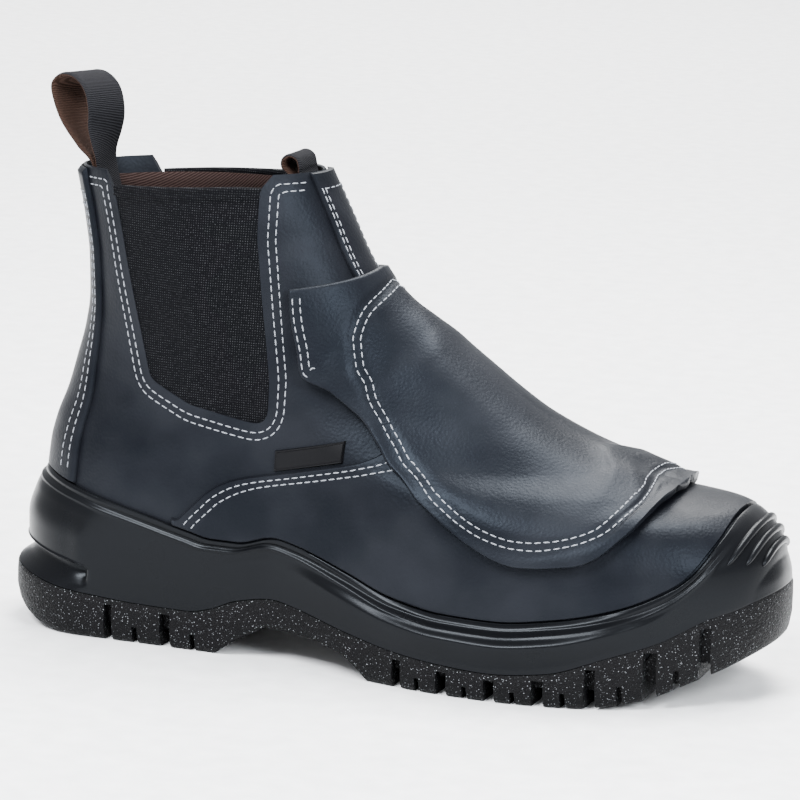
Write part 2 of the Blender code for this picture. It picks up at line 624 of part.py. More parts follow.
def strap_mesh(path, width, thickness, twist=0.0):
    """A flat strap along a path, its width across the foot, turned about the upright by a twist at each point."""
    path = np.asarray(path, float)
    along = np.gradient(path, axis=0)
    along /= np.linalg.norm(along, axis=1, keepdims=True)
    twist = np.broadcast_to(twist, path.shape[:1])
    across = np.stack([np.sin(twist), np.cos(twist), 0 * twist], -1)
    across -= along * np.sum(across * along, axis=1, keepdims=True)
    across /= np.linalg.norm(across, axis=1, keepdims=True)
    out = np.cross(across, along)
    out /= np.linalg.norm(out, axis=1, keepdims=True)
    side = np.linspace(-0.5, 0.5, 3)[None, :, None] * width * across[:, None]
    return slab_mesh(path[:, None] + side + out[:, None] * thickness / 2,
                     path[:, None] + side - out[:, None] * thickness / 2)


def curve_through(points, count):
    """Evenly spaced points on a smooth curve through a few points."""
    points = np.asarray(points, float)
    knots = np.concatenate([[0], np.cumsum(np.linalg.norm(np.diff(points, axis=0), axis=1))])
    padded = np.concatenate([2 * points[:1] - points[1:2], points, 2 * points[-1:] - points[-2:-1]])
    at = np.linspace(0, knots[-1], count)
    i = np.clip(np.searchsorted(knots, at, "right") - 1, 0, len(knots) - 2)
    s = ((at - knots[i]) / (knots[i + 1] - knots[i]))[:, None]
    p0, p1, p2, p3 = (padded[i + k] for k in range(4))
    return 0.5 * (2 * p1 + (p2 - p0) * s + (2 * p0 - 5 * p1 + 4 * p2 - p3) * s ** 2
                  + (3 * p1 - p0 - 3 * p2 + p3) * s ** 3)


def loop_path(shares, height, turn, width, twist=0.0, lower=0.0):
    """The webbing's middle line in space, both ends tucked down inside the collar, and where it leaves it. Lower
    moves the place where it comes back down."""
    inside = WALL + 3 * GAP + WEBBING_THICKNESS + LEG_SPACE / 2
    name = "back_round" if turn == 0.0 else "front_round"
    half = LAST[-1, LAST_COLUMNS.index("heel")] * HEEL_WIDTH / 2
    bow = LAST[-1, LAST_COLUMNS.index(name)] * SOLE_LENGTH * (1 - math.sqrt(1 - (width / 2 / half) ** 2))
    inward = np.array((bow if turn == 0.0 else -bow, 0, 0))
    foot = skin(turn, 1.0, -inside) + inward
    tail = skin(turn, level_at_height(turn, last_point(turn, 1.0)[2] - LOOP_TAIL), -inside) + inward
    tail[0] = max(tail[0], foot[0]) if turn == 0.0 else min(tail[0], foot[0] + 0.5 * LOOP_TAIL)
    spots = []
    for away, up in shares:
        turned = twist * ease(up, 0.0, 0.5)
        spots.append(foot + height * np.array((away * math.cos(turned), -away * math.sin(turned), up)))
    leg = np.array(((WEBBING_THICKNESS + LEG_SPACE) / 2, 0, 0))
    back_in = foot - leg - np.array((0, 0, lower))
    return curve_through([tail + leg, foot + leg, *spots, back_in, tail - leg], 34), foot


def make_loops():
    """The pull loops of webbing inside the collar, at the heel and at the front."""
    path, foot = loop_path(HEEL_LOOP_PATH, HEEL_LOOP_HEIGHT, 0.0, WEBBING_WIDTH, HEEL_LOOP_TWIST)
    twist = HEEL_LOOP_TWIST * ease(path[:, 2] - foot[2], 0, 0.5 * HEEL_LOOP_HEIGHT)
    make_object("heel_pull_loop", *strap_mesh(path, WEBBING_WIDTH, WEBBING_THICKNESS, twist), TEXTILE)
    path, foot = loop_path(FRONT_LOOP_PATH, FRONT_LOOP_HEIGHT, 0.5, FRONT_LOOP_WIDTH, lower=LOOP_RETURN)
    make_object("front_pull_loop", *strap_mesh(path, FRONT_LOOP_WIDTH, WEBBING_THICKNESS), TEXTILE)


def flank_rows(run):
    """Drop and out of each row of the cup's side at a run along the sole."""
    heel = 1 - ease(run, 0.09, 0.16)
    toe = ease(run, 0.86, 0.94)
    fore = 1 - heel - toe
    for row in FLANK:
        named = dict(zip(FLANK_COLUMNS, row))
        yield tuple(heel * named["heel_" + name] + fore * named["fore_" + name] + toe * named["toe_" + name]
                    for name in ("drop", "out"))


def cup_side(turn, drop, out):
    """Point on the cup's outer side, from the rim (drop 0) down to the tread (drop 1). Along the foot it goes
    straight out to the sole's edge; round the toe it keeps its distance from the last."""
    edge, outward = sole_edge(turn)
    foot = sole_height("parting", turn)
    rim_at = rim_level(turn)
    rim = skin(turn, rim_at, GAP + RIM_THICKNESS)
    height = rim[..., 2] + (foot - rim[..., 2]) * drop
    wall = last_point(turn, level_at_height(turn, height))
    flat = rim[..., :2] + (edge - rim[..., :2]) * out[..., None]
    short = GAP + RIM_THICKNESS - np.sum((flat - wall[..., :2]) * outward, -1)
    flat = flat + outward * np.maximum(short, 0)[..., None]
    point = np.concatenate([flat, height[..., None]], -1)
    reach = np.sum((edge - last_point(turn, level_at_height(turn, foot))[..., :2]) * outward, -1)
    away = GAP + RIM_THICKNESS + (reach - GAP - RIM_THICKNESS) * out
    top = last_point(turn, rim_at)[..., 2]
    tilted = skin(turn, np.maximum(level_at_height(turn, top + (foot - top) * drop), 0.02), away)
    blend = (ease(side_and_run(turn)[1], 0.84, 0.93) * (1 - drop))[..., None]
    return point + (tilted - point) * blend


def parting_ring(at, inset, share, gap=0.0):
    """A ring of the surface where cup and tread meet, share 0 at the edge's height and 1 at the core's. A gap
    moves it down and outwards."""
    parting, core = sole_height("parting", at), sole_height("core", at)
    height = parting + share * (core - parting) - gap
    return np.concatenate([sole_edge(at, inset - gap)[0], height[:, None]], -1)


def cup_surface(turn, drop):
    """Point on the cup's outer side, with its out read from the rows above and below."""
    names = np.array(list(flank_rows(side_and_run(turn)[1])))
    drops = np.concatenate([np.zeros((1, turn.size)), names[:, 0], np.ones((1, turn.size))])
    outs = np.concatenate([np.zeros((1, turn.size)), names[:, 1], np.ones((1, turn.size))])
    out = np.array([np.interp(drop[k], drops[:, k], outs[:, k]) for k in range(turn.size)])
    return cup_side(turn, drop, out)


def toe_bars():
    """One mesh with the rounded bars over the toe, half sunk in the cup."""
    points, faces = [], []
    steps, sides = 11, 7
    share = np.linspace(-1, 1, steps)
    for spread, end, middle in TOE_BARS:
        path = cup_surface(0.5 + spread * share, middle + (end - middle) * np.abs(share) ** 2.3)
        along = np.gradient(path, axis=0)
        along /= np.linalg.norm(along, axis=1, keepdims=True)
        out = np.cross(along, np.cross(np.array((1.0, 0, 0.5)), along))
        out /= np.linalg.norm(out, axis=1, keepdims=True)
        across = np.cross(along, out)
        radius = BAR_RADIUS * (0.35 + 0.65 * (1 - share ** 6))[:, None]
        rings = [path + radius * (out * math.cos(angle) + across * math.sin(angle))
                 for angle in 2 * math.pi * np.arange(sides) / sides]
        start = len(points)
        points += list(np.stack(rings, 1).reshape(-1, 3))
        faces += [(start + k * sides + j, start + k * sides + (j + 1) % sides,
                   start + (k + 1) * sides + (j + 1) % sides, start + (k + 1) * sides + j)
                  for k in range(steps - 1) for j in range(sides)]
        faces.append(tuple(start + j for j in reversed(range(sides))))
        faces.append(tuple(start + (steps - 1) * sides + j for j in range(sides)))
    return make_object("toe_bars", points, faces, cutter=True)


def make_cup():
    """The cup sole: a floor under the foot and a side that wraps the upper, high at the heel and the toe."""
    at = turns()
    rim = rim_level(at)
    rings = []
    foot = skin(at, 0.0, GAP)
    foot[:, 2] = floor_height(foot[:, 0]) - GAP
    rings.append(foot)
    for level in upper_levels(at)[1:CUP_ROWS + 1]:
        rings.append(skin(at, level, GAP))
    rings.append(skin(at, rim, GAP + RIM_THICKNESS))
    for drop, out in zip(*np.moveaxis(np.array(list(flank_rows(side_and_run(at)[1]))), 1, 0)):
        rings.append(cup_side(at, drop, out))
    rings.append(parting_ring(at, 0.0, 0.0))
    for inset, share in LIP:
        rings.append(parting_ring(at, inset, share, -GAP))
    cup = make_object("cup_sole", *rings_mesh(rings), CUP)
    boolean(cup, toe_bars(), "UNION")
    return cup


def make_tread():
    """The rubber tread: its side, lugs, arch and toe spring."""
    at = turns()
    parting = sole_height("parting", at) - GAP
    ground = sole_height("ground", at)
    rings = [parting_ring(at, inset, share, 1.5 * GAP) for inset, share in reversed(LIP)]
    rings.append(parting_ring(at, 0.0, 0.0, 1.5 * GAP))
    for inset, share in ((-0.0006, 0.25), (-0.0006, 0.60), (0.0006, 0.90), (0.0020, 1.0)):
        point = sole_edge(at, inset)[0]
        rings.append(np.concatenate([point, (parting + share * (ground - parting))[:, None]], -1))
    tread = make_object("outsole", *rings_mesh(rings), RUBBER)
    breast = HEEL_BREAST
    arch = [(breast - 0.004, -0.01), (breast - 0.003, 0.0)]
    arch += [(x * SOLE_LENGTH, lift * ARCH_LIFT) for x, lift in ARCH_LINE]
    arch.append((ARCH_LINE[-1][0] * SOLE_LENGTH + 0.001, -0.01))
    boolean(tread, prism("arch_cut", np.array(arch), -SOLE_WIDTH, SOLE_WIDTH), "DIFFERENCE")
    boolean(tread, lug_cutter(), "DIFFERENCE")
    return tread


def lug_cutter():
    """One mesh with a bracket-shaped bar for each gap between lugs: across the tread and up both sides."""
    points, faces = [], []
    for middle, width in LUG_GAPS:
        x, half = middle * SOLE_LENGTH, width * SOLE_LENGTH / 2
        turn_out = math.acos(1 - 2 * middle) / (2 * math.pi)
        edges = [float(sole_edge(np.array(turn))[0][1]) for turn in (turn_out, 1 - turn_out)]
        ground = float(sole_height("ground", np.array(turn_out)))
        parting = float(sole_height("parting", np.array(turn_out)))
        top, low, floor = parting - 0.0025, ground + LUG_DEPTH, ground - 0.02
        low = min(low, top - 0.001)
        y0, y1 = edges[0], edges[1]
        outline = [(y0 - 0.01, floor), (y1 + 0.01, floor), (y1 + 0.01, top), (y1 - FLANK_NOTCH, top),
                   (y1 - FLANK_NOTCH - 0.002, low), (y0 + FLANK_NOTCH + 0.002, low), (y0 + FLANK_NOTCH, top),
                   (y0 - 0.01, top)]
        start = len(points)
        count = len(outline)
        points += [(x + sign * half, y, z) for sign in (-1, 1) for y, z in outline]
        faces.append(tuple(start + k for k in range(count)))
        faces.append(tuple(start + count + k for k in reversed(range(count))))
        faces += [(start + k, start + (k + 1) % count, start + count + (k + 1) % count, start + count + k)
                  for k in range(count)]
    return make_object("lug_gaps", points, faces, cutter=True)


def make_insole():
    """The insole, on the cup's floor inside the upper."""
    at = turns()
    rings = []
    for level, lift, inside in ((0.0, 0.0, 0.0), (0.0, 0.5, 0.0), (0.0, 1.0, 0.0012)):
        ring = skin(at, level, -(WALL + 2.5 * GAP + inside))
        ring[:, 2] = floor_height(ring[:, 0]) + GAP + lift * INSOLE_THICKNESS
        rings.append(ring)
    return make_object("insole", *rings_mesh(rings), FOOTBED)


def clear_scene():
    """Empties the scene and makes the two collections."""
    for thing in list(bpy.data.objects):
        bpy.data.objects.remove(thing, do_unlink=True)
    for name in ("metatarsal_guard_boot", "cutters"):
        group = bpy.data.collections.new(name)
        bpy.context.scene.collection.children.link(group)


def centre_on_box():
    """Moves every object so that the origin lies under the middle of the boot's box, on the floor."""
    bpy.context.view_layer.update()
    graph = bpy.context.evaluated_depsgraph_get()
    corners = []
    for thing in bpy.data.collections["metatarsal_guard_boot"].objects:
        mesh = thing.evaluated_get(graph).to_mesh()
        corners += [tuple(vertex.co) for vertex in mesh.vertices]
        thing.evaluated_get(graph).to_mesh_clear()
    corners = np.array(corners)
    low, high = corners.min(0), corners.max(0)
    shift = np.array([(low[0] + high[0]) / 2, (low[1] + high[1]) / 2, low[2]])
    for thing in bpy.data.objects:
        thing.location = -shift


def main():
    clear_scene()
    make_upper()
    make_gores()
    make_overlays()
    make_guard()
    make_label()
    make_loops()
    make_cup()
    make_tread()
    make_insole()
    centre_on_box()


main()
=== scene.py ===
"""Metatarsal guard boot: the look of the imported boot, drawn from the side that its photograph shows.

Lengths are in metres. The boot's surfaces are drawn in the last's own frame, where x is 0 at the back of the sole,
z is 0 on the floor and -Y is the outer side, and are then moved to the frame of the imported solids.
"""

import logging
import math
from dataclasses import dataclass
from enum import Enum

import bmesh
import bpy
import numpy as np
from mathutils import Matrix, Vector


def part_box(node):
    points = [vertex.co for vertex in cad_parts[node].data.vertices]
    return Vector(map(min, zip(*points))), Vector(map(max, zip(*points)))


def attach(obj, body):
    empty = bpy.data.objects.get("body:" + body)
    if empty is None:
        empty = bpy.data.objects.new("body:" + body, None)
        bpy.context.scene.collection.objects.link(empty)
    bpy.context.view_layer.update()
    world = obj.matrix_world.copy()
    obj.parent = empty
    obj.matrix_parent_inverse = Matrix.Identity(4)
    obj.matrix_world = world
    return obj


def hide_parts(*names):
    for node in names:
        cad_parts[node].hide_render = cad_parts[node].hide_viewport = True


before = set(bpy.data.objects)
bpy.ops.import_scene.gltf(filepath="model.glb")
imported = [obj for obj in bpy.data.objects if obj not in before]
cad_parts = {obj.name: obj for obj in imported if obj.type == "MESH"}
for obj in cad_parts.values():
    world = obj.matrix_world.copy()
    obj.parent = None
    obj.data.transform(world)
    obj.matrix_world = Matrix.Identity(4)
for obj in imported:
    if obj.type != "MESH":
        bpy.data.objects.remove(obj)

log = logging.getLogger("boot")
Table = tuple[tuple[float, ...], ...]
Mesh = tuple[np.ndarray, list]

GAP = 0.0003
WALL = 0.0022
OVERLAY = 0.0013
OVERLAY_SEAT = 3 * GAP


def ease(value: np.ndarray, start: float, end: float) -> np.ndarray:
    """0 before start, 1 after end, and a smooth step between."""
    share = np.clip((value - start) / (end - start), 0, 1)
    return share * share * (3 - 2 * share)


def smooth(knots: np.ndarray, values: np.ndarray, at: np.ndarray) -> np.ndarray:
    """A cubic curve through the knots that never swings past them.

    Args:
        knots: rising places of the known values.
        values: the known values.
        at: places to read.

    Returns:
        The curve's value at each place.
    """
    knots, values, at = (np.asarray(one, float) for one in (knots, values, at))
    step = np.diff(knots)
    slope = np.diff(values) / step
    total = slope[1:] + slope[:-1]
    inner = np.where(slope[1:] * slope[:-1] > 0, 2 * slope[1:] * slope[:-1] / np.where(total == 0, 1, total), 0)
    tangent = np.concatenate([slope[:1], inner, slope[-1:]])
    at = np.clip(at, knots[0], knots[-1])
    i = np.clip(np.searchsorted(knots, at, "right") - 1, 0, len(step) - 1)
    s = (at - knots[i]) / step[i]
    ends = (1 + 2 * s) * (1 - s) ** 2 * values[i] + s * s * (3 - 2 * s) * values[i + 1]
    return ends + s * (1 - s) * step[i] * ((1 - s) * tangent[i] - s * tangent[i + 1])


def unit(vectors: np.ndarray) -> np.ndarray:
    """Vectors scaled to length 1."""
    return vectors / np.maximum(np.linalg.norm(vectors, axis=-1, keepdims=True), 1e-12)


def round_end(distance: np.ndarray, length: np.ndarray, power: float) -> np.ndarray:
    """Width of a rounded end, from 0 at its tip to 1 where it has run its length."""
    left = 1 - np.clip(distance / length, 0, 1)
    return np.maximum(1 - left ** power, 0) ** (1 / power)


def halve(below, shape: tuple, top: float = 1.0) -> np.ndarray:
    """Level at which a test turns from true to false.

    Args:
        below: test of an array of levels.
        shape: shape of that array.
        top: highest level looked at.

    Returns:
        The levels found.
    """
    low, high = np.zeros(shape), np.full(shape, top)
    for _ in range(30):
        middle = (low + high) / 2
        under = below(middle)
        low, high = np.where(under, middle, low), np.where(under, high, middle)
    return low


def side_and_run(turn: np.ndarray) -> tuple[np.ndarray, np.ndarray]:
    """Side of a turn, -1 outer and 1 inner, and how far it has run from heel (0) to toe (1)."""
    turn = np.asarray(turn, float) % 1.0
    half = np.where(turn < 0.5, turn, 1 - turn)
    return np.where(turn < 0.5, -1.0, 1.0), (1 - np.cos(2 * math.pi * half)) / 2


def along_path(points: np.ndarray, spacing: float) -> np.ndarray:
    """Points at even steps of about this spacing along a polyline."""
    points = np.asarray(points, float)
    run = np.concatenate([[0], np.cumsum(np.linalg.norm(np.diff(points, axis=0), axis=1))])
    at = np.linspace(0, run[-1], max(2, int(round(run[-1] / spacing)) + 1))
    return np.stack([np.interp(at, run, points[:, k]) for k in range(points.shape[1])], -1)


def curve_through(points: np.ndarray, count: int) -> np.ndarray:
    """Evenly spaced points on a smooth curve through a few points."""
    points = np.asarray(points, float)
    knots = np.concatenate([[0], np.cumsum(np.linalg.norm(np.diff(points, axis=0), axis=1))])
    padded = np.concatenate([2 * points[:1] - points[1:2], points, 2 * points[-1:] - points[-2:-1]])
    at = np.linspace(0, knots[-1], count)
    i = np.clip(np.searchsorted(knots, at, "right") - 1, 0, len(knots) - 2)
    s = ((at - knots[i]) / (knots[i + 1] - knots[i]))[:, None]
    p0, p1, p2, p3 = (padded[i + k] for k in range(4))
    return 0.5 * (2 * p1 + (p2 - p0) * s + (2 * p0 - 5 * p1 + 4 * p2 - p3) * s ** 2
                  + (3 * p1 - p0 - 3 * p2 + p3) * s ** 3)


@dataclass(frozen=True)
class Last:
    """The form that the boot is drawn over: a stack of loops from the feather line (level 0) to the collar (1)."""

    length: float = 0.304
    collar_rise: float = 0.144
    front_rise: float = 0.149
    seat: float = 0.033
    ball_dip: float = 0.015
    heel_width: float = 0.071
    waist_width: float = 0.074
    ball_width: float = 0.101
    toe_swing: float = 0.010
    stations: tuple[float, float, float] = (0.15, 0.35, 0.69)
    names: tuple[str, ...] = ("level", "back_x", "back_z", "front_x", "front_z", "dip", "heel", "waist_out",
                              "waist_in", "ball_out", "ball_in", "back_round", "front_round", "front_power")
    rows: Table = (
        (0.00, 0.040, 0.000, 0.976, 0.000, 1.00, 0.90, 0.86, 0.66, 0.90, 0.86, 0.130, 0.27, 2.3),
        (0.07, 0.035, 0.055, 0.981, 0.050, 0.98, 0.98, 0.95, 0.76, 0.98, 0.95, 0.135, 0.28, 2.4),
        (0.16, 0.036, 0.125, 0.976, 0.135, 0.85, 1.00, 1.00, 0.85, 1.00, 0.97, 0.140, 0.28, 2.4),
        (0.25, 0.040, 0.195, 0.957, 0.206, 0.65, 0.99, 1.02, 0.90, 0.98, 0.95, 0.145, 0.29, 2.3),
        (0.32, 0.043, 0.258, 0.931, 0.240, 0.48, 0.97, 1.01, 0.92, 0.95, 0.92, 0.150, 0.31, 2.2),
        (0.40, 0.050, 0.320, 0.889, 0.254, 0.30, 0.95, 1.00, 0.93, 0.90, 0.87, 0.155, 0.33, 2.1),
        (0.50, 0.064, 0.400, 0.808, 0.278, 0.15, 0.92, 0.98, 0.93, 0.83, 0.80, 0.160, 0.36, 2.0),
        (0.60, 0.075, 0.485, 0.687, 0.358, 0.05, 0.90, 0.96, 0.93, 0.78, 0.76, 0.165, 0.36, 2.0),
        (0.70, 0.086, 0.575, 0.570, 0.501, 0.00, 0.90, 0.96, 0.94, 0.75, 0.74, 0.165, 0.30, 2.0),
        (0.78, 0.091, 0.660, 0.495, 0.635, 0.00, 0.91, 0.94, 0.93, 0.74, 0.73, 0.165, 0.24, 2.0),
        (0.86, 0.089, 0.765, 0.445, 0.770, 0.00, 0.89, 0.90, 0.89, 0.75, 0.74, 0.165, 0.20, 2.0),
        (0.93, 0.081, 0.875, 0.416, 0.885, 0.00, 0.86, 0.87, 0.85, 0.76, 0.75, 0.165, 0.19, 2.0),
        (1.00, 0.068, 1.000, 0.387, 1.000, 0.00, 0.84, 0.84, 0.82, 0.77, 0.76, 0.165, 0.19, 2.0),
    )

    def row(self, level: np.ndarray) -> dict[str, np.ndarray]:
        """Every column of the table at a level."""
        table = np.array(self.rows)
        return {name: smooth(table[:, 0], table[:, k], level) for k, name in enumerate(self.names) if k}

    def centre(self, x: np.ndarray) -> np.ndarray:
        """Sideways place of the foot's middle, which swings inward towards the toe."""
        return self.toe_swing * ease(x, 0.45 * self.length, self.length)

    def height(self, x: np.ndarray, row: dict) -> np.ndarray:
        """Height of a loop at x."""
        share = (x - row["back_x"] * self.length) / ((row["front_x"] - row["back_x"]) * self.length)
        back = self.seat + row["back_z"] * self.collar_rise
        front = self.seat + row["front_z"] * self.front_rise
        ball = (ease(x, 0.22 * self.length, 0.60 * self.length)
                * (1 - ease(x, 0.72 * self.length, 1.02 * self.length)))
        return back + (front - back) * share - self.ball_dip * row["dip"] * ball

    def half_width(self, x: np.ndarray, row: dict, side: np.ndarray) -> np.ndarray:
        """Half width of a loop at x, before its ends are rounded."""
        share = x / self.length
        waist = np.where(side < 0, row["waist_out"], row["waist_in"]) * self.waist_width / 2
        ball = np.where(side < 0, row["ball_out"], row["ball_in"]) * self.ball_width / 2
        heel = row["heel"] * self.heel_width / 2
        at_heel, at_waist, at_ball = self.stations
        return heel + (waist - heel) * ease(share, at_heel, at_waist) + (ball - waist) * ease(share, at_waist, at_ball)

    def point(self, turn: np.ndarray, level: np.ndarray) -> np.ndarray:
        """Point of the last. Turn is 0 at the heel and 0.5 at the toe, outer side first; level runs up."""
        turn, level = np.broadcast_arrays(np.asarray(turn, float), np.asarray(level, float))
        row = self.row(level)
        side, run = side_and_run(turn)
        back, front = row["back_x"] * self.length, row["front_x"] * self.length
        x = back + (front - back) * run
        ends = (round_end(x - back, row["back_round"] * self.length, 2.0)
                * round_end(front - x, row["front_round"] * self.length, row["front_power"]))
        y = self.centre(x) + side * self.half_width(x, row, side) * ends
        return np.stack([x, y, self.height(x, row)], -1)

    def normal(self, turn: np.ndarray, level: np.ndarray, step: float = 4e-4) -> np.ndarray:
        """Outward unit normal of the last."""
        level = np.clip(level, step, 1 - step)
        around = self.point(turn + step, level) - self.point(turn - step, level)
        up = self.point(turn, level + step) - self.point(turn, level - step)
        return unit(np.cross(around, up))

    def skin(self, turn: np.ndarray, level: np.ndarray, offset: np.ndarray) -> np.ndarray:
        """Point at a distance outside the last."""
        turn, level, offset = np.broadcast_arrays(*(np.asarray(one, float) for one in (turn, level, offset)))
        return self.point(turn, level) + self.normal(turn, level) * offset[..., None]

    def place(self, x: np.ndarray, z: np.ndarray, side: int) -> tuple[np.ndarray, np.ndarray]:
        """Turn and level of the last at a point of its side view."""
        x, z = np.broadcast_arrays(np.asarray(x, float), np.asarray(z, float))
        level = halve(lambda middle: self.height(x, self.row(middle)) < z, x.shape)
        row = self.row(level)
        share = (x / self.length - row["back_x"]) / (row["front_x"] - row["back_x"])
        half = np.arccos(1 - 2 * np.clip(share, 0, 1)) / (2 * math.pi)
        return np.where(side < 0, half, 1 - half), level

    def level_at(self, turn: np.ndarray, height: np.ndarray) -> np.ndarray:
        """Level of the last's column at a height."""
        return halve(lambda middle: self.point(turn, middle)[..., 2] < height, np.shape(turn))

    def floor(self, x: np.ndarray) -> np.ndarray:
        """Height of the last's underside at x."""
        return self.height(x, self.row(np.zeros_like(x)))


@dataclass(frozen=True)
class SoleForm:
    """Sizes of the cup sole and the tread, and the surfaces made of them."""

    last: Last
    width: float = 0.109
    toe_short: float = 0.0022
    tread_height: float = 0.0120
    rim_thickness: float = 0.0016
    arch_lift: float = 0.0138
    heel_breast: float = 0.0960
    plan: Table = ((0.10, 0.70, 0.68), (0.22, 0.69, 0.66), (0.36, 0.70, 0.56), (0.50, 0.86, 0.68),
                   (0.62, 1.01, 0.88), (0.70, 1.05, 0.96), (0.80, 1.02, 0.98), (0.90, 0.92, 0.94),
                   (1.00, 0.86, 0.92))
    # Station, rim, parting, core and ground
    side: Table = (
        (0.00, 0.190, 1.96, 1.60, 0.86), (0.03, 0.189, 1.83, 1.50, 0.46), (0.06, 0.184, 1.70, 1.42, 0.17),
        (0.10, 0.170, 1.54, 1.35, 0.02), (0.15, 0.149, 1.42, 1.30, 0.00), (0.20, 0.125, 1.33, 1.28, 0.00),
        (0.27, 0.090, 1.30, 1.28, 0.00), (0.30, 0.077, 1.46, 1.43, 0.00), (0.335, 0.077, 1.83, 1.79, 0.00),
        (0.385, 0.101, 2.04, 1.98, 0.00), (0.415, 0.090, 1.92, 1.86, 0.00), (0.485, 0.042, 1.50, 1.44, 0.00),
        (0.55, -0.007, 1.17, 1.11, 0.00), (0.615, -0.028, 1.00, 0.95, 0.00), (0.68, -0.031, 0.92, 0.85, 0.00),
        (0.75, -0.014, 1.08, 0.92, 0.00), (0.82, 0.021, 1.67, 1.15, 0.08), (0.88, 0.077, 2.17, 1.55, 0.40),
        (0.905, 0.118, 2.50, 1.75, 0.66), (0.93, 0.201, 2.83, 1.95, 0.93), (0.945, 0.278, 2.96, 2.10, 1.08),
        (1.00, 0.292, 3.50, 2.45, 1.75),
    )
    # Heel drop and out, forefoot drop and out, toe drop and out
    flank: Table = (
        (0.00, 0.00, 0.00, 0.00, 0.00, 0.00), (0.04, 0.10, 0.07, 0.30, 0.03, 0.08),
        (0.22, 0.42, 0.24, 0.95, 0.14, 0.18), (0.50, 0.68, 0.40, 1.45, 0.30, 0.40),
        (0.72, 0.66, 0.60, 1.30, 0.50, 0.66), (0.77, 0.36, 0.76, 1.15, 0.70, 0.88),
        (0.90, 0.55, 0.90, 1.02, 0.88, 0.98), (1.00, 1.00, 1.00, 1.00, 1.00, 1.00),
    )
    arch_line: Table = ((0.336, 0.50), (0.378, 1.00), (0.416, 0.96), (0.451, 0.88), (0.486, 0.66),
                        (0.510, 0.32), (0.521, 0.00))

    def side_height(self, column: int, turn: np.ndarray) -> np.ndarray:
        """A height of the side table at a turn, in metres."""
        table = np.array(self.side)
        return self.tread_height * smooth(table[:, 0], table[:, column], side_and_run(turn)[1])

    def rim_height(self, x: np.ndarray) -> np.ndarray:
        """Height of the cup's rim at x."""
        table = np.array(self.side)
        return self.last.seat + self.last.collar_rise * smooth(table[:, 0], table[:, 1], x / self.last.length)

    def rim_level(self, turn: np.ndarray) -> np.ndarray:
        """Level of the last where the cup's rim crosses its column."""
        def below(middle: np.ndarray) -> np.ndarray:
            """True where the column is still under the rim."""
            point = self.last.point(turn, middle)
            return point[..., 2] < self.rim_height(point[..., 0])
        return halve(below, np.shape(turn), 0.6)

    def edge(self, turn: np.ndarray, inset: float = 0.0) -> tuple[np.ndarray, np.ndarray]:
        """Plan of the sole's edge, and its outward direction there."""
        plan, length = np.array(self.plan), self.last.length

        def outline(at: np.ndarray) -> np.ndarray:
            """The edge's plan before any inset."""
            side, run = side_and_run(at)
            width = np.where(side < 0, smooth(plan[:, 0], plan[:, 1], run),
                             smooth(plan[:, 0], plan[:, 2], run)) * self.width / 2
            x = length * run - self.toe_short * ease(run, 0.80, 1.0)
            ends = round_end(length * run, 0.13 * length, 2.2) * round_end(length * (1 - run), 0.27 * length, 2.3)
            return np.stack([x, self.last.centre(x) + side * width * ends], -1)

        along = outline(turn + 4e-4) - outline(turn - 4e-4)
        outward = unit(np.stack([along[..., 1], -along[..., 0]], -1))
        return outline(turn) - outward * inset, outward

    def flank_at(self, run: float, drop: np.ndarray) -> np.ndarray:
        """How far the side stands out at each drop, at one place along the sole."""
        heel, toe = 1 - ease(run, 0.09, 0.16), ease(run, 0.86, 0.94)
        rows = np.array(self.flank)
        weight = np.array((heel, 1 - heel - toe, toe))
        return smooth(rows[:, 0::2] @ weight, rows[:, 1::2] @ weight, drop)

    def cup_side(self, turn: np.ndarray, drop: np.ndarray, out: np.ndarray, lift: np.ndarray) -> np.ndarray:
        """Points on the cup's outer side.

        Args:
            turn: turns round the last.
            drop: 0 at the rim and 1 at the tread.
            out: share of the way from the rim's thickness to the sole's edge.
            lift: extra distance outwards.

        Returns:
            The points.
        """
        base = GAP + self.rim_thickness
        edge, outward = self.edge(turn)
        foot = self.side_height(2, turn)
        rim_at = self.rim_level(turn)
        rim = self.last.skin(turn, rim_at, base)
        height = rim[..., 2] + (foot - rim[..., 2]) * drop
        wall = self.last.point(turn, self.last.level_at(turn, height))
        flat = rim[..., :2] + (edge - rim[..., :2]) * out[..., None]
        short = base - np.sum((flat - wall[..., :2]) * outward, -1)
        flat = flat + outward * (np.maximum(short, 0) + lift)[..., None]
        point = np.concatenate([flat, height[..., None]], -1)
        reach = np.sum((edge - self.last.point(turn, self.last.level_at(turn, foot))[..., :2]) * outward, -1)
        away = base + (reach - base) * out + lift
        top = self.last.point(turn, rim_at)[..., 2]
        level = np.maximum(self.last.level_at(turn, top + (foot - top) * drop), 0.02)
        blend = (ease(side_and_run(turn)[1], 0.84, 0.93) * (1 - drop))[..., None]
        return point + (self.last.skin(turn, level, away) - point) * blend

    def above_rim(self, turn: np.ndarray) -> np.ndarray:
        """Level just above the cup's rim."""
        return self.rim_level(turn) + (2 + 2 * ease(side_and_run(turn)[1], 0.85, 0.95)) * GAP / self.last.collar_rise


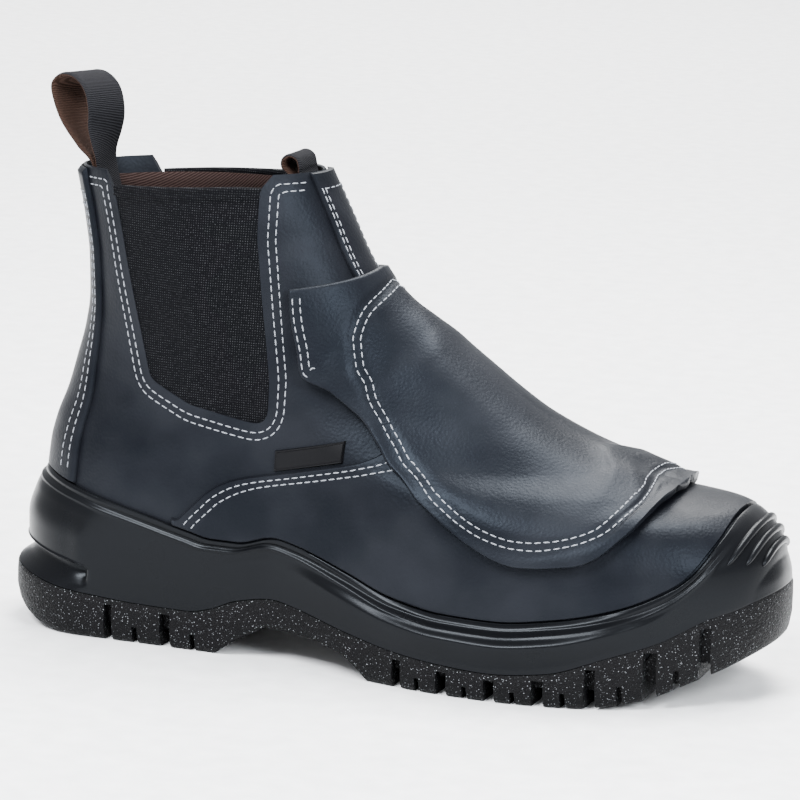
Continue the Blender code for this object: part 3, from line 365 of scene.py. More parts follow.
class Knit:
    """Meshes made of grids of points."""

    @staticmethod
    def quads(rows: int, cols: int, wrap: bool = False) -> list:
        """Faces of a grid, closed round its columns if it wraps."""
        across = cols if wrap else cols - 1
        i, j = np.meshgrid(np.arange(rows - 1), np.arange(across), indexing="ij")
        a, b = i * cols + j, i * cols + (j + 1) % cols
        return np.stack([a, b, b + cols, a + cols], -1).reshape(-1, 4).tolist()

    @staticmethod
    def grid(points: np.ndarray, wrap: bool = False) -> Mesh:
        """A grid's points and faces."""
        return points.reshape(-1, 3), Knit.quads(*points.shape[:2], wrap)

    @staticmethod
    def slab(outer: np.ndarray, inner: np.ndarray) -> Mesh:
        """A closed solid between two grids."""
        rows, cols = outer.shape[:2]
        points = np.concatenate([outer.reshape(-1, 3), inner.reshape(-1, 3)])
        faces = Knit.quads(rows, cols)
        faces += [[a + rows * cols for a in reversed(face)] for face in faces]
        rim = ([(0, j) for j in range(cols - 1)] + [(i, cols - 1) for i in range(rows - 1)]
               + [(rows - 1, j) for j in range(cols - 1, 0, -1)] + [(i, 0) for i in range(rows - 1, 0, -1)])
        for k, (i, j) in enumerate(rim):
            n, m = rim[(k + 1) % len(rim)]
            a, b = i * cols + j, n * cols + m
            faces.append([b, a, rows * cols + a, rows * cols + b])
        return points, faces

    @staticmethod
    def join(meshes: list[Mesh]) -> Mesh:
        """Several meshes as one."""
        points, faces, start = [], [], 0
        for some, fans in meshes:
            points.append(np.asarray(some, float).reshape(-1, 3))
            faces += [[index + start for index in fan] for fan in fans]
            start += len(points[-1])
        return np.concatenate(points), faces

    @staticmethod
    def tube(path: np.ndarray, radius: np.ndarray, out: np.ndarray, flat: float = 1.0, sides: int = 10) -> Mesh:
        """A closed tube along a path.

        Args:
            path: points of its middle line.
            radius: radius at each point.
            out: a direction at each point, across which the tube may be flattened.
            flat: height over width of its section.
            sides: corners of its section.

        Returns:
            The mesh.
        """
        along = unit(np.gradient(path, axis=0))
        out = unit(out - along * np.sum(out * along, -1, keepdims=True))
        across = np.cross(along, out)
        angle = 2 * math.pi * np.arange(sides) / sides
        radius = np.broadcast_to(radius, path.shape[:1])[:, None, None]
        ring = (path[:, None] + radius * (flat * np.cos(angle)[None, :, None] * out[:, None]
                                          + np.sin(angle)[None, :, None] * across[:, None]))
        points, faces = Knit.grid(ring, wrap=True)
        last = (len(path) - 1) * sides
        return points, faces + [list(range(sides))[::-1], [last + k for k in range(sides)]]


class Shade:
    """A shader socket that takes part in sums."""

    def __init__(self, tree: bpy.types.NodeTree, socket: object) -> None:
        """Keeps the tree and the socket."""
        self.tree, self.socket = tree, socket

    def node(self, kind: str, settings: dict | None = None, out: int | str = 0, **inputs: object) -> "Shade":
        """A node of any kind.

        Args:
            kind: the node's type.
            settings: its properties, set first.
            out: the output to keep.
            inputs: values or sockets by input name, with _ for a space, or in0, in1 for a place in the list.

        Returns:
            The chosen output.
        """
        made = self.tree.nodes.new(kind)
        for name, value in (settings or {}).items():
            setattr(made, name, value)
        for name, value in inputs.items():
            key = int(name[2:]) if name[:2] == "in" and name[2:].isdigit() else name.replace("_", " ")
            if isinstance(value, Shade):
                self.tree.links.new(value.socket, made.inputs[key])
            else:
                made.inputs[key].default_value = value
        return Shade(self.tree, made.outputs[out])

    def sum(self, operation: str, *values: object, clamp: bool = False) -> "Shade":
        """A Math node on this socket and others."""
        named = {f"in{k}": value for k, value in enumerate(values)}
        return self.node("ShaderNodeMath", {"operation": operation, "use_clamp": clamp}, **named)

    def __add__(self, other: object) -> "Shade":
        """Sum."""
        return self.sum("ADD", self, other)

    def __radd__(self, other: object) -> "Shade":
        """Sum, from the right."""
        return self.sum("ADD", other, self)

    def __sub__(self, other: object) -> "Shade":
        """Difference."""
        return self.sum("SUBTRACT", self, other)

    def __rsub__(self, other: object) -> "Shade":
        """Difference, from the right."""
        return self.sum("SUBTRACT", other, self)

    def __mul__(self, other: object) -> "Shade":
        """Product."""
        return self.sum("MULTIPLY", self, other)

    def __rmul__(self, other: object) -> "Shade":
        """Product, from the right."""
        return self.sum("MULTIPLY", other, self)

    def ramp(self, low: float, high: float, start: float = 0.0, end: float = 1.0) -> "Shade":
        """This value carried from one range smoothly to another."""
        return self.node("ShaderNodeMapRange", {"interpolation_type": "SMOOTHSTEP"}, Value=self, From_Min=low,
                         From_Max=high, To_Min=start, To_Max=end)

    def mix(self, first: object, second: object) -> "Shade":
        """A colour between two, by this value."""
        def colour(value: object) -> object:
            """A plain colour with its alpha."""
            return value if isinstance(value, Shade) else (*value, 1.0)
        return self.node("ShaderNodeMix", {"data_type": "RGBA"}, out=2, in0=self, in6=colour(first),
                         in7=colour(second))


Colour = tuple[float, float, float]


@dataclass(frozen=True)
class Finish:
    """A finish of one base material; each kind of surface adds its own pattern."""

    name: str
    colour: Colour
    roughness: float = 0.5
    coat: float = 0.0
    gloss: float = 0.10
    tint: Colour = (1.0, 1.0, 1.0)

    def build(self) -> bpy.types.Material:
        """The Blender material."""
        material = bpy.data.materials.new(self.name)
        material.use_nodes = True
        tree = material.node_tree
        shader = tree.nodes["Principled BSDF"]
        shader.inputs["Coat Weight"].default_value = self.coat
        shader.inputs["Coat Roughness"].default_value = 0.25
        shader.inputs["Specular IOR Level"].default_value = self.gloss
        shader.inputs["Specular Tint"].default_value = (*self.tint, 1.0)
        place = Shade(tree, None).node("ShaderNodeTexCoord", out="Object")
        colour, rough, bumps = self.pattern(place)
        tree.links.new(colour.socket, shader.inputs["Base Color"])
        tree.links.new(rough.socket, shader.inputs["Roughness"])
        normal = None
        for height, strength, distance in bumps:
            more = {"Normal": normal} if normal else {}
            normal = place.node("ShaderNodeBump", Strength=strength, Distance=distance, Height=height, **more)
        if normal:
            tree.links.new(normal.socket, shader.inputs["Normal"])
        return material

    def noise(self, place: Shade, scale: float, detail: float = 3.0, rough: float = 0.5) -> Shade:
        """Noise of a scale in lumps a metre."""
        return place.node("ShaderNodeTexNoise", Vector=place, Scale=scale, Detail=detail, Roughness=rough)

    def cells(self, place: Shade, scale: float, feature: str = "F1") -> Shade:
        """Distance in a cell pattern."""
        return place.node("ShaderNodeTexVoronoi", {"feature": feature}, out="Distance", Vector=place, Scale=scale)

    def pattern(self, place: Shade) -> tuple[Shade, Shade, list]:
        """Colour, roughness and bumps of a plain surface with faint mottling."""
        mottle = self.noise(place, 90.0)
        dark = tuple(0.75 * one for one in self.colour)
        return mottle.mix(dark, self.colour), mottle.ramp(0.3, 0.7, self.roughness - 0.05, self.roughness + 0.05), []


@dataclass(frozen=True)
class Leather(Finish):
    """Full-grain leather: small pebbled cells, fine pores, soft unevenness of colour and gloss."""

    grain: float = 900.0
    depth: float = 0.00022

    def pattern(self, place: Shade) -> tuple[Shade, Shade, list]:
        """Colour, roughness and bumps."""
        warp = self.noise(place, 160.0, 4.0)
        cells = self.cells(place, self.grain, "SMOOTH_F1")
        fine = self.noise(place, 2600.0, 2.0)
        broad = self.noise(place, 22.0, 3.0)
        pale = tuple(1.55 * one + 0.004 for one in self.colour)
        tone = broad.ramp(0.35, 0.70).mix(self.colour, pale)
        rough = (broad * 0.16 + warp * 0.14) + (self.roughness - 0.15)
        return tone, rough, [(warp, 0.04, 0.0003), (cells, 0.40, self.depth), (fine, 0.35, 0.00007)]


@dataclass(frozen=True)
class Elastic(Finish):
    """Ribbed elastic: upright cords crossed by fine picks, with pale specks."""

    pitch: float = 0.0009

    def pattern(self, place: Shade) -> tuple[Shade, Shade, list]:
        """Colour, roughness and bumps."""
        scale = 1 / self.pitch
        speck = self.noise(place, 1500.0, 1.0)
        rib = place.node("ShaderNodeTexWave", {"bands_direction": "X"}, out="Fac", Vector=place,
                         Scale=scale / 3.2, Distortion=1.2, Detail=2.0, Detail_Scale=2.0)
        pick = place.node("ShaderNodeTexWave", {"bands_direction": "Z"}, out="Fac", Vector=place,
                          Scale=scale / 3.2, Distortion=1.2, Detail=2.0, Detail_Scale=2.0)
        weave = rib * pick
        pale = tuple(4.0 * one + 0.022 for one in self.colour)
        tone = (weave * speck).ramp(0.26, 0.56).mix(self.colour, pale)
        return tone, speck.ramp(0.3, 0.7, 0.75, 0.95), [(weave, 0.6, 0.0003), (speck, 0.4, 0.0002)]


@dataclass(frozen=True)
class Moulded(Finish):
    """Moulded rubber with a satin skin and a faint mould texture."""

    def pattern(self, place: Shade) -> tuple[Shade, Shade, list]:
        """Colour, roughness and bumps."""
        broad, fine = self.noise(place, 45.0), self.noise(place, 1900.0, 2.0)
        rough = broad * 0.14 + (self.roughness - 0.07)
        pale = tuple(1.5 * one for one in self.colour)
        return broad.mix(self.colour, pale), rough, [(broad, 0.12, 0.0006), (fine, 0.28, 0.00008)]


@dataclass(frozen=True)
class Speckled(Finish):
    """Tread rubber with a blasted, sparkling skin."""

    def pattern(self, place: Shade) -> tuple[Shade, Shade, list]:
        """Colour, roughness and bumps."""
        speck = self.cells(place, 1250.0)
        grit = self.noise(place, 900.0, 2.0, 0.7)
        bright = speck.ramp(0.30, 0.10) * grit.ramp(0.46, 0.62)
        tone = bright.mix(self.colour, (0.20, 0.21, 0.22))
        return tone, bright.ramp(0.0, 1.0, self.roughness, 0.30), [(grit, 0.9, 0.0009), (speck, 0.5, 0.0004)]


@dataclass(frozen=True)
class Twill(Finish):
    """Webbing or lining cloth with a slanting twill."""

    pitch: float = 0.0011
    contrast: float = 2.2

    def pattern(self, place: Shade) -> tuple[Shade, Shade, list]:
        """Colour, roughness and bumps."""
        slant = place.node("ShaderNodeMapping", Vector=place, Rotation=(0.5, 0.6, 0.4))
        wave = place.node("ShaderNodeTexWave", {"bands_direction": "Z"}, out="Fac", Vector=slant,
                          Scale=1 / self.pitch / 3.2, Distortion=1.5, Detail=2.0, Detail_Scale=3.0)
        fuzz = self.noise(place, 1400.0, 3.0)
        pale = tuple(self.contrast * one + 0.004 for one in self.colour)
        tone = (wave * 0.6 + fuzz * 0.4).ramp(0.30, 0.75).mix(self.colour, pale)
        return tone, fuzz.ramp(0.2, 0.8, 0.80, 0.98), [(wave, 0.7, 0.0003), (fuzz, 0.5, 0.0002)]


class Finishes(Enum):
    """The boot's finishes."""

    LEATHER = Leather("oiled_leather", (0.0026, 0.0029, 0.0041), 0.42, gloss=0.066, tint=(0.70, 0.83, 1.0))
    GUARD = Leather("guard_leather", (0.0028, 0.0032, 0.0045), 0.42, gloss=0.078, tint=(0.68, 0.82, 1.0),
                    grain=950.0)
    ELASTIC = Elastic("gore_elastic", (0.0016, 0.0017, 0.0022), 0.85, gloss=0.04)
    CUP = Moulded("cup_rubber", (0.0018, 0.0019, 0.0023), 0.29, 0.02, gloss=0.075, tint=(0.85, 0.92, 1.0))
    RUBBER = Speckled("tread_rubber", (0.0026, 0.0026, 0.0029), 0.50, gloss=0.06)
    WEBBING = Twill("loop_webbing", (0.0042, 0.0042, 0.0050), 0.85, gloss=0.05, pitch=0.0007)
    WEBBING_BACK = Twill("loop_webbing_back", (0.016, 0.0085, 0.0060), 0.9, gloss=0.05, pitch=0.0007)
    LINING = Twill("collar_lining", (0.0100, 0.0056, 0.0048), 0.9, gloss=0.05, pitch=0.0008)
    THREAD = Twill("seam_thread", (0.17, 0.178, 0.195), 0.7, gloss=0.2, pitch=0.0006, contrast=1.5)
    FOOTBED = Twill("footbed_cloth", (0.050, 0.040, 0.033), 0.9, pitch=0.0014)
    PLATE = Moulded("label_plate", (0.0024, 0.0024, 0.0028), 0.45, gloss=0.07)
    FLOOR = Finish("pale_floor", (0.93, 0.93, 0.93), 0.7)


class Workshop:
    """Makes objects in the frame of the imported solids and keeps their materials."""

    def __init__(self, sole: SoleForm) -> None:
        """Finds how far the last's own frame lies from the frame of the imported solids."""
        ring = sole.edge(np.arange(48) / 48, -0.0006)[0]
        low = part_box("outsole")[0]
        self.shift = np.array([low.x - ring[:, 0].min(), low.y - ring[:, 1].min(), 0.0])
        self.materials: dict[str, bpy.types.Material] = {}

    def material(self, finish: Finishes) -> bpy.types.Material:
        """The material of a finish, made once."""
        if finish.name not in self.materials:
            self.materials[finish.name] = finish.value.build()
        return self.materials[finish.name]

    def piece(self, name: str, mesh: Mesh, finish: Finishes, node: str | None = None, slot: str | None = None,
              angle: float = 50.0, flip: bool = True) -> bpy.types.Object:
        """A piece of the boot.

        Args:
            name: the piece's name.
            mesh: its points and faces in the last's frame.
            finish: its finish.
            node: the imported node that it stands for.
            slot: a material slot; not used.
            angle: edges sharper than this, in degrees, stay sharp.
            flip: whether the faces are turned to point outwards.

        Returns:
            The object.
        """
        data = bpy.data.meshes.new(name)
        data.from_pydata((np.asarray(mesh[0]) + self.shift).tolist(), [], mesh[1])
        if flip:
            shape = bmesh.new()
            shape.from_mesh(data)
            bmesh.ops.recalc_face_normals(shape, faces=shape.faces)
            shape.to_mesh(data)
            shape.free()
        data.shade_smooth()
        data.set_sharp_from_angle(angle=math.radians(angle))
        data.materials.append(self.material(finish))
        thing = bpy.data.objects.new(name, data)
        bpy.context.scene.collection.objects.link(thing)
        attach(thing, "root")
        if node:
            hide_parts(node)
        log.info("%s: %d faces", name, len(data.polygons))
        return thing

    def cut(self, thing: bpy.types.Object, cutter: Mesh) -> None:
        """Cuts a closed mesh out of a piece."""
        data = bpy.data.meshes.new("cutter")
        data.from_pydata((np.asarray(cutter[0]) + self.shift).tolist(), [], cutter[1])
        shape = bmesh.new()
        shape.from_mesh(data)
        bmesh.ops.recalc_face_normals(shape, faces=shape.faces)
        shape.to_mesh(data)
        shape.free()
        tool = bpy.data.objects.new("cutter", data)
        bpy.context.scene.collection.objects.link(tool)
        change = thing.modifiers.new("cut", "BOOLEAN")
        change.operation, change.solver, change.object = "DIFFERENCE", "EXACT", tool
        graph = bpy.context.evaluated_depsgraph_get()
        made = bpy.data.meshes.new_from_object(thing.evaluated_get(graph))
        thing.modifiers.clear()
        old, thing.data = thing.data, made
        bpy.data.meshes.remove(old)
        bpy.data.objects.remove(tool)
        bpy.data.meshes.remove(data)


def prism(outline: np.ndarray, low_y: float, high_y: float) -> Mesh:
    """An outline of the side view pushed across from low_y to high_y."""
    count = len(outline)
    points = [(x, y, z) for y in (low_y, high_y) for x, z in outline]
    faces = [list(range(count)), list(range(2 * count - 1, count - 1, -1))]
    faces += [[j, (j + 1) % count, count + (j + 1) % count, count + j] for j in range(count)]
    return np.array(points), faces


@dataclass(frozen=True)
class Stitching:
    """Rows of stitches, each a small capsule of thread that dips into the leather at both ends."""

    pitch: float = 0.0033
    length: float = 0.0027
    radius: float = 0.00026
    sunk: float = 0.00002

    def row(self, path: np.ndarray, normal: np.ndarray) -> list[Mesh]:
        """One row of stitches.

        Args:
            path: the row's points, on the leather.
            normal: the leather's outward normal at each.

        Returns:
            A mesh for each stitch.
        """
        joined = along_path(np.concatenate([path, normal], 1), self.pitch / 6)
        if len(joined) < 8:
            return []
        run = np.concatenate([[0], np.cumsum(np.linalg.norm(np.diff(joined[:, :3], axis=0), axis=1))])
        made = []
        count = int(run[-1] // self.pitch)
        for k in range(count):
            middle = (k + 0.5) * run[-1] / count
            share = np.linspace(-1, 1, 7)
            at = middle + share * self.length / 2
            points = np.stack([np.interp(at, run, joined[:, c]) for c in range(3)], -1)
            out = unit(np.stack([np.interp(at, run, joined[:, c]) for c in range(3, 6)], -1))
            body = np.sqrt(np.maximum(1 - np.abs(share) ** 3, 0.02))
            lift = self.radius * (0.55 - 1.0 * share ** 4) - self.sunk
            made.append(Knit.tube(points + out * lift[:, None], self.radius * body, out, 0.8, 6))
        return made


@dataclass(frozen=True)
class Fold:
    """A soft crease on the last: a path of turns and levels, its width and how deep it dips."""

    path: Table
    width: float
    depth: float


class Relief:
    """Creases and soft waves of the leather, as an offset of its skin."""

    def __init__(self, last: Last, folds: tuple[Fold, ...]) -> None:
        """Turns each fold's path into points in space."""
        self.lines = []
        for fold in folds:
            path = curve_through(np.array(fold.path), 24)
            self.lines.append((last.point(path[:, 0], path[:, 1]), fold))

    def at(self, points: np.ndarray) -> np.ndarray:
        """Offset at each point: a dip along each fold with a faint ridge on both sides."""
        total = np.zeros(points.shape[:-1])
        for line, fold in self.lines:
            reach = np.linalg.norm(points[..., None, :] - line, axis=-1)
            nearest = reach.argmin(-1)
            share = nearest / (len(line) - 1)
            off = reach.min(-1) / fold.width
            taper = np.sin(math.pi * np.clip(share, 0.03, 0.97)) ** 0.6
            total -= fold.depth * taper * (np.exp(-off ** 2) - 0.45 * np.exp(-((off - 1.9) / 0.9) ** 2))
        return total


@dataclass(frozen=True)
class Gore:
    """The elastic panel's outline in the side view."""

    last: Last
    # x as a share of the length, z as a share of the collar's rise, corner radius as a share of the length
    corners: Table = ((0.048, 1.08, 0.0), (0.120, 1.036, 0.030), (0.1445, 0.940, 0.030), (0.165, 0.768, 0.2),
                      (0.206, 0.480, 0.022), (0.262, 0.425, 0.06), (0.368, 0.390, 0.030), (0.3665, 0.510, 0.1),
                      (0.337, 0.858, 0.10), (0.333, 0.990, 0.020), (0.347, 1.038, 0.018), (0.392, 1.10, 0.0))
    top: tuple[float, float] = (0.966, 0.998)

    def outline(self, steps: int = 12) -> np.ndarray:
        """The cut-out's outline, in metres."""
        last = self.last
        corners = [(np.array((x * last.length, last.seat + z * last.collar_rise)), radius * last.length)
                   for x, z, radius in self.corners]
        line = []
        for k, (corner, radius) in enumerate(corners):
            sides = (corners[k - 1][0] - corner, corners[(k + 1) % len(corners)][0] - corner)
            if radius == 0.0:
                line.append(corner)
                continue
            reach = 0.45 * min(np.linalg.norm(side) for side in sides)
            ways = [unit(side) for side in sides]
            half = math.acos(np.clip(ways[0] @ ways[1], -1, 1)) / 2
            reach = min(reach, radius / max(math.tan(half), 1e-6))
            for share in np.linspace(0, 1, steps):
                line.append(corner + ways[0] * reach * (1 - share) ** 2 + ways[1] * reach * share * share)
        return np.array(line)

    def edges(self, height: np.ndarray, clearance: float) -> tuple[np.ndarray, np.ndarray]:
        """Back and front of the opening at a height."""
        line = self.outline()[1:-1]
        low = int(line[:, 1].argmin())
        back = np.interp(height, line[:low + 1, 1][::-1], line[:low + 1, 0][::-1])
        front = np.interp(height, line[low:, 1], line[low:, 0])
        return back - clearance, front + clearance

    def top_height(self, x: np.ndarray) -> np.ndarray:
        """Height of the elastic's top edge at x."""
        last, line = self.last, self.outline()
        share = (x - line[2:-2, 0].min()) / (0.335 - 0.140) / last.length
        return last.seat + last.collar_rise * (self.top[0] + (self.top[1] - self.top[0]) * np.clip(share, 0, 1))


class Shaft:
    """The leather upper with its lining, gores, overlays and seams."""

    def __init__(self, shop: Workshop, sole: SoleForm, gore: Gore, relief: Relief, stitching: Stitching) -> None:
        """Keeps what the pieces are made of."""
        self.shop, self.sole, self.last, self.gore = shop, sole, sole.last, gore
        self.relief, self.stitching = relief, stitching
        self.vamp_edge = np.array(((0.156, 0.100), (0.160, 0.150), (0.168, 0.209), (0.177, 0.266), (0.189, 0.312),
                                   (0.214, 0.377), (0.264, 0.487), (0.298, 0.546), (0.350, 0.628), (0.420, 0.672),
                                   (0.500, 0.690)))
        self.stay_turn, self.strip_turn, self.strip_foot = 0.087, 0.053, 0.80

    def leather(self, turn: np.ndarray, level: np.ndarray, offset: np.ndarray) -> np.ndarray:
        """Skin of the last with the leather's creases."""
        base = self.last.point(turn, level)
        return self.last.skin(turn, level, offset + self.relief.at(base))

    def upper(self) -> None:
        """The leather wall and, inside it, the lining."""
        turn = np.arange(300)[None, :] / 300
        level = np.linspace(0, 1, 90)[:, None]
        lip = 0.0006 * (1 - np.sqrt(np.maximum(1 - ((level - 0.985) / 0.015).clip(0, 1) ** 2, 0)))
        outer = self.leather(turn, level, -lip)
        inner = self.last.skin(turn, level, -WALL + lip)
        points, faces = Knit.join([Knit.grid(outer, True), Knit.grid(inner, True)])
        count, back = 300, 300 * 90
        for j in range(count):
            n = (j + 1) % count
            faces.append([j, n, back + n, back + j])
            faces.append([back - count + j, back - count + n, 2 * back - count + n, 2 * back - count + j])
        upper = self.shop.piece("upper_leather", (points, faces), Finishes.LEATHER, "upper")
        self.shop.cut(upper, prism(self.gore.outline(), -0.1, 0.1))
        upper.data.set_sharp_from_angle(angle=math.radians(50))
        level = np.linspace(0.02, 0.975, 60)[:, None]
        lining = self.last.skin(turn, level, -WALL - 0.0004)
        piece = self.shop.piece("shaft_lining", Knit.grid(lining, True), Finishes.LINING, slot="upper")
        piece.modifiers.new("cloth", "SOLIDIFY").thickness = 0.0004

    def gores(self) -> None:
        """The two elastic panels and their bound top edges."""
        for side, name in ((-1, "lateral"), (1, "medial")):
            low = self.gore.outline()[:, 1].min() - 0.001
            share = np.linspace(0, 1, 70)[:, None]
            across = np.linspace(0, 1, 60)[None, :]
            x_guess = np.linspace(0.150, 0.340, 60)[None, :] * self.last.length
            top = self.gore.top_height(x_guess) - 0.0050
            z = low + (top - low) * share
            back, front = self.gore.edges(z, 0.0012)
            x = back + (front - back) * across
            turn, level = self.last.place(x, z, side)
            wave = 0.0007 * np.sin(9 * across + 5 * share) * np.sin(math.pi * across) * np.sin(math.pi * share)
            outer = self.last.skin(turn, level, -0.0004 - 0.0009 * np.sin(math.pi * across) * (1 - share) + wave)
            inner = self.last.skin(turn, level, -0.0019 - 0.0009 * np.sin(math.pi * across) * (1 - share) + wave)
            self.shop.piece("elastic_" + name, Knit.slab(outer, inner), Finishes.ELASTIC, "gore_" + name)
            self.band(side, name)

    def band(self, side: int, name: str) -> None:
        """The folded binding over a gore's top edge, with its two ridges."""
        x = np.linspace(0.1405, 0.3345, 60)[None, :] * self.last.length
        down = np.linspace(0, 1, 26)[:, None]
        z = self.gore.top_height(x) - 0.0055 * down
        turn, level = self.last.place(x, z, side)
        edge = np.sqrt(np.maximum(1 - (1 - np.clip(down / 0.10, 0, 1)) ** 2, 0))
        ridge = 0.00042 * (np.exp(-((down - 0.22) / 0.10) ** 2) + np.exp(-((down - 0.62) / 0.10) ** 2))
        dent = -0.0004 * np.exp(-((down - 0.90) / 0.05) ** 2)
        outer = self.last.skin(turn, level, -0.0012 + 0.0010 * edge + ridge + dent)
        inner = self.last.skin(turn, level, -0.0013 - 0.0012 * edge - ridge * 0.6)
        self.shop.piece("elastic_binding_" + name, Knit.slab(outer, inner), Finishes.ELASTIC, "gore_band_" + name)

    def overlay(self, name: str, node: str, turn: np.ndarray, low: np.ndarray, high: np.ndarray, rows: int,
                finish: Finishes = Finishes.LEATHER) -> None:
        """A layer of leather over the upper, with rounded edges.

        Args:
            name: the piece's name.
            node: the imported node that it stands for.
            turn: turns of its columns.
            low: level of its lower edge at each turn.
            high: level of its upper edge at each turn.
            rows: rows between them.
            finish: its finish.
        """
        share = 0.5 - 0.5 * np.cos(math.pi * np.linspace(0, 1, rows))[:, None]
        share = 0.35 * share + 0.65 * np.linspace(0, 1, rows)[:, None]
        level = low + (high - low) * share
        base = self.last.point(turn[None, :], level)
        size = np.linalg.norm(base[-1] - base[0], axis=-1)
        near = np.minimum(share * size, (1 - share) * size)
        run = np.concatenate([[0], np.cumsum(np.linalg.norm(np.diff(base, axis=1), axis=-1).mean(0))])
        near = np.minimum(near, np.minimum(run, run[-1] - run)[None, :])
        lift = np.sqrt(np.maximum(1 - (1 - np.clip(near / 0.0009, 0, 1)) ** 2, 0))
        top = OVERLAY_SEAT - 0.0004 + (OVERLAY + 0.0004) * lift
        outer = self.leather(turn[None, :], level, top)
        inner = self.last.skin(turn[None, :], level, OVERLAY_SEAT - 0.0008)
        self.shop.piece(name, Knit.slab(outer, inner), finish, node)

    def overlays(self) -> None:
        """Forefoot leather, back stay and front strip."""

        def fine(start: float, end: float, count: int) -> np.ndarray:
            """Even steps between two turns, closer at both ends."""
            share = np.sort(np.concatenate([np.linspace(0, 1, count), (0.002, 0.996, 0.004, 0.998)]))
            return start + (end - start) * share

        turn = fine(self.vamp_edge[0, 0], 1 - self.vamp_edge[0, 0], 260)
        low = self.sole.above_rim(turn)
        edge = smooth(self.vamp_edge[:, 0], self.vamp_edge[:, 1], np.minimum(turn, 1 - turn))
        self.overlay("forefoot_leather", "vamp", turn, low, np.maximum(edge, low + 0.02), 80)
        turn = fine(-self.stay_turn, self.stay_turn, 50)
        top = np.full(turn.shape, 1 - GAP / self.last.collar_rise)
        self.overlay("back_stay_leather", "back_stay", turn, self.sole.above_rim(turn), top, 90)
        turn = fine(0.5 - self.strip_turn, 0.5 + self.strip_turn, 40)
        top = np.full(turn.shape, 1 - GAP / self.last.collar_rise)
        low = np.full(turn.shape, self.strip_foot)
        self.overlay("front_strip_leather", "front_strip", turn, low, top, 40)

    def rows_at(self, turn: np.ndarray, level: np.ndarray, offset: float) -> list[Mesh]:
        """One stitch row over the leather."""
        keep = level < 0.999
        turn, level = turn[keep], level[keep]
        path = self.leather(turn, level, np.full(turn.shape, offset))
        return self.stitching.row(path, self.last.normal(turn, level))

    def border(self, side: int, distance: float) -> tuple[np.ndarray, np.ndarray]:
        """Turn and level of a line inside the leather's border, round a gore and along the collar."""
        last = self.last
        line = self.gore.outline()[1:-1]

        def collar(x: np.ndarray) -> np.ndarray:
            """Height of the collar's edge."""
            return last.height(x, last.row(np.ones_like(x)))

        line = line[line[:, 1] < collar(line[:, 0])]
        back = np.linspace(0.074 * last.length, line[0, 0], 30)[:-1]
        front = np.linspace(line[-1, 0], 0.3806 * last.length, 60)[1:]
        whole = along_path(np.concatenate([np.stack([back, collar(back)], -1), line,
                                           np.stack([front, collar(front)], -1)]), 0.0004)
        way = unit(np.gradient(whole, axis=0))
        moved = whole + np.stack([way[:, 1], -way[:, 0]], -1) * distance
        near = np.linalg.norm(moved[:, None] - whole[None, ::3], axis=-1).min(1)
        moved = moved[near > 0.985 * distance]
        kernel = np.ones(9) / 9
        padded = np.concatenate([np.repeat(moved[:1], 4, 0), moved, np.repeat(moved[-1:], 4, 0)])
        moved = np.stack([np.convolve(padded[:, k], kernel, "valid") for k in range(2)], -1)
        turn, level = last.place(moved[:, 0], moved[:, 1], side)
        half = np.minimum(turn, 1 - turn)
        keep = (half > self.stay_turn + 0.002) & (half < 0.5 - self.strip_turn - 0.002)
        return turn[keep], level[keep]

    def seams(self) -> None:
        """Every double row of stitches on the shaft and the forefoot."""
        made = []
        for side in (-1, 1):
            for distance in (0.0036, 0.0063):
                made += self.rows_at(*self.border(side, distance), 0.0)
        for side in (0, 1):
            turn = np.linspace(self.vamp_edge[0, 0], 0.30, 160)
            edge = smooth(self.vamp_edge[:, 0], self.vamp_edge[:, 1], turn)
            for inset in (0.0026, 0.0052):
                base = np.stack([turn * 0.62, edge * 0.150], -1)
                way = unit(np.gradient(base, axis=0))
                moved = base + np.stack([way[:, 1], -way[:, 0]], -1) * inset
                at, level = moved[:, 0] / 0.62, moved[:, 1] / 0.150
                keep = level > self.sole.above_rim(at) + 0.01
                at, level = at[keep], level[keep]
                made += self.rows_at(1 - at if side else at, level, OVERLAY_SEAT + OVERLAY)
        for side in (-1, 1):
            for inset in (0.0045, 0.0105):
                level = np.linspace(0.262, 0.965, 200)
                at = np.full(level.shape, self.stay_turn - inset * 1.6)
                made += self.rows_at(side * at % 1.0, level, OVERLAY_SEAT + OVERLAY)
            for inset in (0.006, 0.0135):
                level = np.linspace(self.strip_foot, 0.975, 80)
                at = np.full(level.shape, self.strip_turn - inset)
                made += self.rows_at(0.5 + side * at, level, OVERLAY_SEAT + OVERLAY)
        for low in (0.965, 0.945):
            turn = np.linspace(-self.stay_turn + 0.01, self.stay_turn - 0.01, 60)
            made += self.rows_at(turn % 1.0, np.full(turn.shape, low), OVERLAY_SEAT + OVERLAY)
        turn = np.linspace(0.5 - self.strip_turn + 0.01, 0.5 + self.strip_turn - 0.01, 40)
        made += self.rows_at(turn, np.full(turn.shape, 0.972), OVERLAY_SEAT + OVERLAY)
        log.info("shaft stitches: %d", len(made))
        self.shop.piece("shaft_seams", Knit.join(made), Finishes.THREAD, slot="upper", flip=False)

